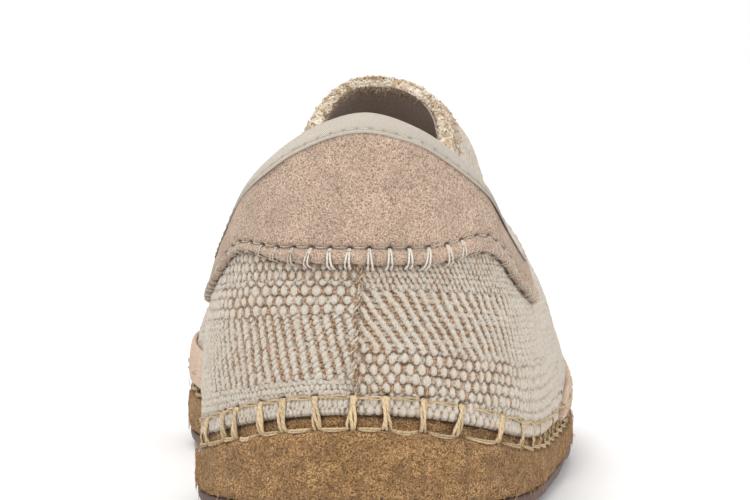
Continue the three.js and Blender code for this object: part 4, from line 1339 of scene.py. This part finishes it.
class SLIPON_OT_blanket_stitch(Operator):
    """Cord that sews the upper to the platform: an upper run, bars and a lower run"""

    bl_idname = "slipon.blanket_stitch"
    bl_label = "Blanket stitch"

    def execute(self, context):
        sizes, colours = context.scene.slipon_sizes, context.scene.slipon_colours
        radius = sizes.cord / MM / 2
        rng = np.random.default_rng(SEED_BLANKET)
        runs, bars = Strands(), Strands()
        for here, there in zip(BLANKET, [*BLANKET[1:], BLANKET[0] + ROUND]):
            self.top_run(runs, rng, here, there, radius)
            self.bar(bars, rng, here, radius)
            self.low_run(runs, rng, here, there, radius)
        material = strand_material("stitch cord", scaled(colours.cord, 0.55), scaled(colours.cord, 1.12), 2600.0, 1.3)
        for name, strands in (("blanket_runs", runs), ("blanket_bars", bars)):
            finish(strands.lay(name, 6), material, "jute")
        self.fuzz(bars.paths + runs.paths, rng, material)
        return {"FINISHED"}

    @staticmethod
    def fuzz(cords, rng, material):
        """Fine loose hairs along the cords."""
        pick = rng.integers(0, len(cords), CORD_HAIRS)
        root = np.array([cords[k][rng.integers(2, len(cords[k]) - 2)] for k in pick])
        away = unit(rng.normal(0, 1, (len(pick), 3)))
        hairs = hairs_from(rng, root, away, (0.5, 1.5), 0.5, 5)
        radii = np.full((len(pick), 1), 0.045) * np.array([[1, 1, 0.9, 0.7, 0.3]])
        piece = lay_strands("cord_fuzz", hairs, radii, 3, rng.uniform(0.5, 1.0, len(pick)))
        finish(piece, material, "jute")

    @staticmethod
    def wrap(length):
        """Place t at a distance round the outline that may run past its end."""
        low = FINE_LENGTH[0]
        return place_of(low + np.mod(length - low, ROUND))

    @staticmethod
    def over(t):
        """How far the toe band stands out under the cord."""
        return BAR_OVER_BAND * smooth_step((np.abs(t) - BAND_START) / 0.1)

    @staticmethod
    def forward(length):
        """0 round the heel, 1 further towards the toe, where the cords are finer."""
        return smooth_step((abs(length) - FORWARD_FROM) / FORWARD_OVER)

    def top_run(self, strands, rng, here, there, radius):
        """Two thin strands that lie in the cloth from hole to hole."""
        part = np.linspace(0.03, 0.97, RUN_POINTS)
        bow = rng.uniform(-0.3, 0.35)
        arch = np.sin(np.linspace(0.02, 0.98, RUN_POINTS) * math.pi)
        for strand in (-1, 1):
            t = self.wrap(here + (there - here) * part)
            turn = 0.14 * np.sin(part * 9 + strand * 2.1)
            height = run_heights(t)[0] + bow * arch + strand * radius * 0.85 * arch ** 0.5 + turn
            grow = 1.15 * arch ** 0.5 - 0.45 + turn + self.over(t)
            point, _normal = skin_at(t, height, grow)
            strands.add(point, np.full(RUN_POINTS, radius * 0.85) * rng.uniform(0.85, 1.1), rng.uniform(0.35, 0.9))

    def bar(self, strands, rng, here, radius):
        """Strands from the hole in the cloth down to the platform, twisted on each other."""
        part = np.linspace(0, 1, BAR_POINTS)
        lean = rng.uniform(-0.7, 1.0) - 1.7 * smooth_step((here - 16) / 14)
        spread = rng.uniform(0.8, 1.25)
        forward = self.forward(here)
        fine = 1 - 0.35 * forward - 0.25 * smooth_step((abs(here) - 66) / 10)
        phase = rng.uniform(0, 6)
        for strand in (-1, 0, 1):
            sway = 0.22 * np.sin(part * 7 + phase + strand * 2.1)
            u = here + lean * part + strand * radius * 1.9 * spread * (0.4 + 0.9 * part) + sway
            t = self.wrap(u)
            top, bottom = run_heights(t)
            height = top + 0.1 - (top - bottom + 0.5) * part
            edge = between(EDGE, t)
            arch = (1.55 - 0.75 * forward) * np.sin(np.clip(0.02 + part * 1.0, 0, 1) * math.pi) ** 0.4
            grow = arch - 0.5 + 0.16 * np.cos(part * 7 + phase + strand * 2.1) + self.over(t) * (height > edge)
            point, _normal = skin_at(t, np.maximum(height, edge + 0.15), grow)
            x, y, _out = sole_point(t, np.maximum(grow, -0.4) + 0.15)
            share = smooth_step((edge + 0.8 - height) / 1.6)
            point[:, 0] = point[:, 0] * (1 - share) + x * share
            point[:, 1] = point[:, 1] * (1 - share) + y * share
            point[:, 2] = height
            taper = np.array([1.6, 1.4, 1.15] + [1.0] * 8 + [0.95, 0.85])
            strands.add(point, radius * fine * rng.uniform(1.2, 1.5) * taper, rng.uniform(0.45, 1.0))

    def low_run(self, strands, rng, here, there, radius):
        """Short loops that lie on the platform between two bars."""
        part = np.linspace(0.1, 0.9, RUN_POINTS)
        arch = np.sin(np.linspace(0.0, 1.0, RUN_POINTS) * math.pi)
        bow = rng.uniform(-0.7, -0.1)
        forward = self.forward(here)
        for strand in (-1, 1):
            t = self.wrap(here + (there - here) * part)
            height = run_heights(t)[1] + 0.1 + bow * arch + strand * radius * 0.95 * arch ** 0.5
            outward = -0.9 + (2.3 - 0.6 * forward) * arch ** 0.5 + 0.1 * np.sin(part * 8 + strand)
            x, y, _out = sole_point(t, outward)
            strands.add(np.stack([x, y, height], -1), np.full(RUN_POINTS, radius * 0.95) * rng.uniform(0.85, 1.1),
                        rng.uniform(0.3, 0.9))


class SLIPON_OT_back_seam(Operator):
    """Fuzzy tan yarn over the seam up the middle of the heel"""

    bl_idname = "slipon.back_seam"
    bl_label = "Back seam"

    def execute(self, context):
        rng = np.random.default_rng(SEED_SEAM)
        part = np.linspace(0, 1, SEAM_POINTS)
        height = SEAM_LOW + (PATCH_EDGE[0] + 0.5 - SEAM_LOW) * part

        def wander(knots):
            return np.interp(part * (knots - 1), np.arange(knots), rng.normal(0, 1, knots))

        strands = Strands()
        middle = 0.45 * wander(9) - 0.2
        for strand, (grow, thick, tone) in enumerate(((0.1, 0.3, 0.35), (0.2, 0.26, 0.6), (0.05, 0.24, 0.95))):
            u = middle + 0.45 * np.sin(part * 52 + strand * 2.1) + 0.2 * wander(40)
            sink = grow + 0.35 * np.cos(part * 52 + strand * 2.1) + 0.2 * wander(34)
            point, _normal = skin_at(place_of(u), height, sink)
            strands.add(point, thick * (1 + 0.25 * wander(50)), np.clip(tone + 0.25 * wander(24), 0, 1))
        material = strand_material("seam yarn", tint(150, 112, 74), tint(228, 216, 196), 1800.0, 1.1)
        finish(strands.lay("seam_yarn", 7), material, "seam_yarn", "back_seam")
        self.fuzz(rng, middle, material)
        return {"FINISHED"}

    @staticmethod
    def fuzz(rng, middle, material):
        """Curled ends and fine hairs on both sides of the seam."""
        along = np.linspace(SEAM_LOW, PATCH_EDGE[0] + 0.5, len(middle))
        for name, count, spread, thin, reach in (("seam_ends", 210, 0.8, (0.12, 0.24), (0.4, 1.2)),
                                                 ("seam_fuzz", 240, 1.4, (0.035, 0.06), (0.6, 2.2))):
            base = rng.uniform(SEAM_LOW + 0.2, PATCH_EDGE[0] - 0.3, count)
            u = np.interp(base, along, middle) + rng.normal(0, spread, count)
            point, normal = skin_at(place_of(u), base, 0.15)
            away = normal * rng.uniform(0.1, 0.6, count)[:, None] + rng.normal(0, 0.8, (count, 3))
            away += normal * np.maximum(0, 0.2 - (away * normal).sum(-1))[:, None]
            fuzz = hairs_from(rng, point, unit(away), reach, 0.5, 5)
            radii = rng.uniform(*thin, count)[:, None] * np.array([1, 1, 0.9, 0.75, 0.4])[None, :]
            tone = np.clip(rng.normal(0.55, 0.3, count), 0, 1)
            piece = lay_strands(name, fuzz, radii, 4, tone)
            finish(piece, material, "seam_yarn")


class SLIPON_OT_toe_band(Operator):
    """Low suede band round the forefoot, lower on the lateral side"""

    bl_idname = "slipon.toe_band"
    bl_label = "Toe band"

    def execute(self, context):
        colours = context.scene.slipon_colours
        low, high = girth(BAND_START), FINE_LENGTH[-1]
        length = np.linspace(low, 2 * high - low, round(2 * (high - low)) + 1)
        t = place_of(np.where(length > high, length - 2 * high, length))[None, :]
        w = np.abs(t)
        rise = np.sin(np.minimum(1, (w - BAND_START) / BAND_RAMP) * math.pi / 2)
        lower = BAND_DROP * smooth_step((12.5 - w) / 3) * (t > 0)
        tall = BAND_LOW + BAND_HEIGHT * rise * (1 - lower) + np.maximum(0, w - BAND_RISE_FROM) * BAND_RISE
        edge = between(EDGE, t)
        profile = ((0.0, 0.25), (-0.02, 0.9), (0.0, 1.35), (0.06, 1.62), (0.16, 1.7), (0.3, 1.72), (0.45, 1.72),
                   (0.6, 1.72), (0.75, 1.72), (0.86, 1.7), (0.94, 1.55), (0.99, 1.2), (1.0, 0.8), (0.97, 0.4),
                   (0.9, 0.2), (0.5, 0.2))
        parts, grow = columns_of(profile)
        grow = grow + 0 * t
        height = edge - 0.15 + tall * parts
        spread = np.broadcast_to(t, height.shape)
        flat, _normal = skin_at(spread, np.maximum(height, edge + 0.05), 0.0)
        outer = grow > 0.5
        grow = grow + (0.14 * lumps(flat, 5.0, 5) + 0.16 * lumps(flat, 15.0, 6)) * outer
        points, _normal = skin_at(spread, np.maximum(height, edge - 0.1), grow)
        points = np.concatenate([points, points[:1]])
        piece = lay_grid("toe_band", points, closed=True, values={"pit": 0.0})
        suede = tuple(colours.suede)
        # Painted light: the toe band's suede is a brighter copy of the suede colour, its dark and pale tones raised
        # too
        material = suede_material("suede, toe band", scaled(suede, 1.35), scaled(suede, 0.9), scaled(suede, 1.7))
        finish(piece, material, "suede", "toe_guard")
        return {"FINISHED"}


def closed_over(rings):
    """The rings with a line along the middle before and after them, where the two sides meet."""
    lines = rings[[0, -1]].copy()
    lines[..., 0] = (lines[..., 0] + lines[:, ::-1, 0]) / 2
    return np.concatenate([lines[:1], rings, lines[1:]])


def platform_base(t):
    """Height of the platform's underside, along the upper's outline."""
    _x, along, _out = sole_point(t, 0.0)
    return curve(UNDERSIDE, 1, along) + OUTSOLE_THICK


class SLIPON_OT_platform(Operator):
    """Jute platform with loose fibres"""

    bl_idname = "slipon.platform"
    bl_label = "Jute platform"

    def execute(self, context):
        sizes, colours = context.scene.slipon_sizes, context.scene.slipon_colours
        t = even_places(-LAST, LAST, PLATFORM_STEP)[None, :]
        edge = between(EDGE, t)
        base = platform_base(t)
        corner = edge - GAP - STRIP_HEIGHT
        rows, outs = [base + 0.05, base + 0.05, base + 0.05], [-20.0, -8.0, -1.0]
        rows += [base + 0.3, base + 0.9]
        outs += [LEDGE - 0.6, LEDGE - 0.05]
        for part in np.linspace(0.1, 0.94, PLATFORM_ROWS):
            rows.append(base + (corner - base) * part)
            outs.append(LEDGE + 0.35 * math.sin(part * math.pi))
        rows += [corner - 0.35, corner, corner + 0.25]
        outs += [LEDGE - 0.2, LEDGE - 0.75, LEDGE - 1.55]
        for part in (0.3, 0.5, 0.7, 0.9):
            rows.append(corner + STRIP_HEIGHT * part)
            outs.append(LEDGE - STRIP_INSET)
        rows += [edge - 0.05, edge - 0.05, edge - 0.1, edge - 0.6]
        outs += [LEDGE - 2.05, -1.5, -3.2, -3.6]
        _x, inner_along, _out = sole_point(t, -4.4)
        bed = curve(BED, 1, inner_along) + 0.2
        rows += [bed, bed]
        outs += [-4.2, -18.0]
        height = np.concatenate(rows)
        outward = np.array(outs)[:, None] + 0 * t
        x, y, _out = sole_point(np.broadcast_to(t, height.shape), outward)
        flat = np.stack([x, y, height], -1)
        side = (outward > -1.9) & (outward < 3)
        rough = (0.3 * lumps(flat, 2.4, 3) + 0.28 * lumps(flat, 1.1, 4) + 0.25 * lumps(flat, 9.0, 5)) * side
        x, y, _out = sole_point(np.broadcast_to(t, height.shape), outward + rough)
        points = np.stack([x, y, height + 0.12 * lumps(flat, 1.6, 8) * side], -1)
        points = closed_over(points)
        # Painted shadow: a dark line on the strip just under the cloth's edge
        depth = np.exp(-((height - edge + 0.45 + 0.3 * lumps(flat, 2.2, 14)) / 0.62) ** 2) * side * 0.97
        depth = np.concatenate([depth[:1], depth, depth[-1:]])
        piece = lay_grid("platform", points, closed=True, values={"depth": depth})
        jute = tuple(colours.jute)
        material = jute_material("jute", scaled(jute, 0.36), jute, scaled(jute, 1.8))
        finish(piece, material, "jute", "midsole")
        self.fibres(sizes, jute)
        return {"FINISHED"}

    @staticmethod
    def fibres(sizes, jute):
        """Loose fibres that lie along the side of the platform, more of them round the heel."""
        rng = np.random.default_rng(SEED_FIBRES)
        count = sizes.fibres
        t = place_of(FINE_LENGTH[0] + rng.uniform(0, 1, count) * ROUND)
        near = rng.uniform(size=count) < 0.6
        t = np.where(near, place_of(rng.uniform(-75, 75, count)), t)
        edge = between(EDGE, t)
        base = platform_base(t)
        height = base + 0.4 + (edge - base - 1.0) * rng.uniform(size=count)
        corner = edge - GAP - STRIP_HEIGHT
        outward = np.where(height > corner, LEDGE - STRIP_INSET, LEDGE + 0.25)
        x, y, out = sole_point(t, outward)
        root = np.stack([x, y, height], -1)
        outwards = np.stack([out[:, 0], out[:, 1], np.zeros(count)], -1)
        run = np.stack([-out[:, 1], out[:, 0], np.zeros(count)], -1)
        angle = rng.normal(0, 0.9, count)
        away = run * np.cos(angle)[:, None] * rng.choice([-1, 1], count)[:, None]
        away[:, 2] += np.sin(angle)
        part = np.linspace(0, 1, 6)[None, :, None]
        length = rng.uniform(0.8, 2.8, count)[:, None, None]
        bend = rng.normal(0, 0.6, (count, 1, 3))
        bend = bend - outwards[:, None] * (bend * outwards[:, None]).sum(-1, keepdims=True)
        stand = rng.gamma(1.4, 0.09, count)[:, None, None]
        paths = root[:, None] + away[:, None] * part * length + bend * part ** 2 * length
        paths = paths + outwards[:, None] * (0.1 + stand * np.sin(part * math.pi * 0.8) * length * 0.5)
        paths[..., 2] = np.maximum(paths[..., 2], base[:, None] - OUTSOLE_THICK * 0.6)
        radii = rng.uniform(0.03, 0.08, count)[:, None] * np.array([0.5, 1, 1, 1, 0.8, 0.3])[None, :]
        piece = lay_strands("jute_fibres", paths, radii, 3, rng.beta(1.6, 1.6, count))
        material = strand_material("jute fibre", scaled(jute, 0.6), scaled(jute, 1.5), 1500.0)
        finish(piece, material, "jute")


class SLIPON_OT_outsole(Operator):
    """Thin rubber outsole with a rolled edge and grooves across"""

    bl_idname = "slipon.outsole"
    bl_label = "Outsole"

    def execute(self, context):
        colours = context.scene.slipon_colours
        t = even_places(-LAST, LAST, OUTSOLE_STEP)[None, :]
        rows = []
        levels = ((-5.4, 0.0), (-3.2, 0.25), (-1.8, 0.85), (-0.9, 1.7), (-0.35, 2.6), (-0.1, 3.6),
                  (-0.1, OUTSOLE_THICK - 0.2), (-0.45, OUTSOLE_THICK), (-6.0, OUTSOLE_THICK))
        for out, up in levels:
            x, y, _out = sole_point(t, LEDGE + out)
            floor = curve(UNDERSIDE, 1, y)
            groove = np.zeros(y.shape)
            for first, last in GROOVE_RUNS:
                for middle in np.arange(first, last + 0.1, GROOVE_PITCH):
                    groove = np.maximum(groove, smooth_step((GROOVE_WIDTH / 2 + 0.35 - np.abs(y - middle)) / 0.7))
            lifted = np.maximum(up, GROOVE_DEPTH * groove)
            rows.append(np.stack([x, y, floor + lifted], -1)[0])
        points = closed_over(np.stack(rows))
        piece = lay_grid("rubber_outsole", points, closed=True)
        rubber = tuple(colours.rubber)
        material = plain_material("rubber", rubber, scaled(rubber, 0.75), 0.62, 1400.0, 0.00008)
        finish(piece, material, "outsole_rubber", "outsole")
        return {"FINISHED"}


class SLIPON_OT_stage(Operator):
    """Pale floor, soft studio light and the camera"""

    bl_idname = "slipon.stage"
    bl_label = "Stage"

    def execute(self, context):
        scene = context.scene
        scene.view_settings.view_transform = "Standard"
        deselect()
        bpy.ops.mesh.primitive_plane_add(size=1, location=(0, 0, 0))
        floor = context.object
        floor.name = "floor"
        bpy.ops.object.mode_set(mode="EDIT")
        bpy.ops.mesh.select_all(action="SELECT")
        bpy.ops.transform.resize(value=(30, 30, 1))
        bpy.ops.object.mode_set(mode="OBJECT")
        recipe = Recipe("floor", Roughness=0.9, Specular_IOR_Level=0.05)
        speck = recipe.noise(recipe.place(), 3.0, 2.0)
        recipe.into("Base Color", recipe.mix(speck * 0.3, (0.97, 0.97, 0.97), (0.95, 0.95, 0.95)))
        floor.data.materials.append(recipe.material)
        self.light(scene)
        camera = bpy.data.cameras.new("camera")
        camera.lens = LENS
        camera.sensor_width = 36
        camera.clip_start = 0.05
        camera.clip_end = 100
        eye = bpy.data.objects.new("camera", camera)
        scene.collection.objects.link(eye)
        eye.location = EYE
        eye.rotation_euler = (math.radians(90 - EYE_DOWN), 0, math.radians(EYE_TURN))
        scene.camera = eye
        return {"FINISHED"}

    @staticmethod
    def light(scene):
        """White surroundings, dimmer as light than as background, a soft sun and two soft lamps."""
        world = bpy.data.worlds.new("studio")
        scene.world = world
        world.use_nodes = True
        tree = world.node_tree
        sky = tree.nodes["Background"]
        sky.inputs["Color"].default_value = (1, 1, 1, 1)
        seen = tree.nodes.new("ShaderNodeLightPath")
        strength = tree.nodes.new("ShaderNodeMapRange")
        strength.inputs["To Min"].default_value = 0.77
        strength.inputs["To Max"].default_value = 1.0
        tree.links.new(seen.outputs["Is Camera Ray"], strength.inputs["Value"])
        tree.links.new(strength.outputs["Result"], sky.inputs["Strength"])
        lamps = (
            ("key", "SUN", (-0.2, -0.5, 1.2), 0.7, 1.35),
            ("front", "AREA", (-0.4, -1.3, 0.9), 1.0, 2.0),
            ("fill", "AREA", (1.0, -0.9, 0.5), 1.0, 3.0),
        )
        for name, kind, spot, size, power in lamps:
            lamp = bpy.data.lights.new(name, kind)
            lamp.energy = power
            if kind == "SUN":
                lamp.angle = size
            else:
                lamp.shape = "DISK"
                lamp.size = size
            lit = bpy.data.objects.new(name, lamp)
            scene.collection.objects.link(lit)
            lit.location = spot
            aim = np.array(AIM_OF_LAMPS) - np.array(spot)
            lit.rotation_euler = (math.atan2(math.hypot(aim[0], aim[1]), -aim[2]), 0, math.atan2(-aim[0], aim[1]))


OPERATORS = (
    SLIPON_OT_stage,
    SLIPON_OT_outsole,
    SLIPON_OT_platform,
    SLIPON_OT_lining,
    SLIPON_OT_heel_cloth,
    SLIPON_OT_side_cloth,
    SLIPON_OT_toe_band,
    SLIPON_OT_heel_patch,
    SLIPON_OT_tape,
    SLIPON_OT_fringe,
    SLIPON_OT_back_seam,
    SLIPON_OT_blanket_stitch,
)


class SLIPON_PT_panel(Panel):
    """Lists the shoe's pieces, sizes and colours"""

    bl_label = "Slip-on"
    bl_idname = "SLIPON_PT_panel"
    bl_space_type = "VIEW_3D"
    bl_region_type = "UI"
    bl_category = "Slip-on"

    def draw(self, context):
        for group in (context.scene.slipon_sizes, context.scene.slipon_colours):
            box = self.layout.box()
            for key in group.__annotations__:
                box.prop(group, key)
        for operator in OPERATORS:
            self.layout.operator(operator.bl_idname)


CLASSES = (SlipOnSizes, SlipOnColours, *OPERATORS, SLIPON_PT_panel)


def register():
    for cls in CLASSES:
        bpy.utils.register_class(cls)
    bpy.types.Scene.slipon_sizes = PointerProperty(type=SlipOnSizes)
    bpy.types.Scene.slipon_colours = PointerProperty(type=SlipOnColours)


def unregister():
    del bpy.types.Scene.slipon_colours
    del bpy.types.Scene.slipon_sizes
    for cls in reversed(CLASSES):
        bpy.utils.unregister_class(cls)


def main():
    register()
    for operator in OPERATORS:
        family, name = operator.bl_idname.split(".")
        getattr(getattr(bpy.ops, family), name)()


if __name__ == "__main__":
    main()
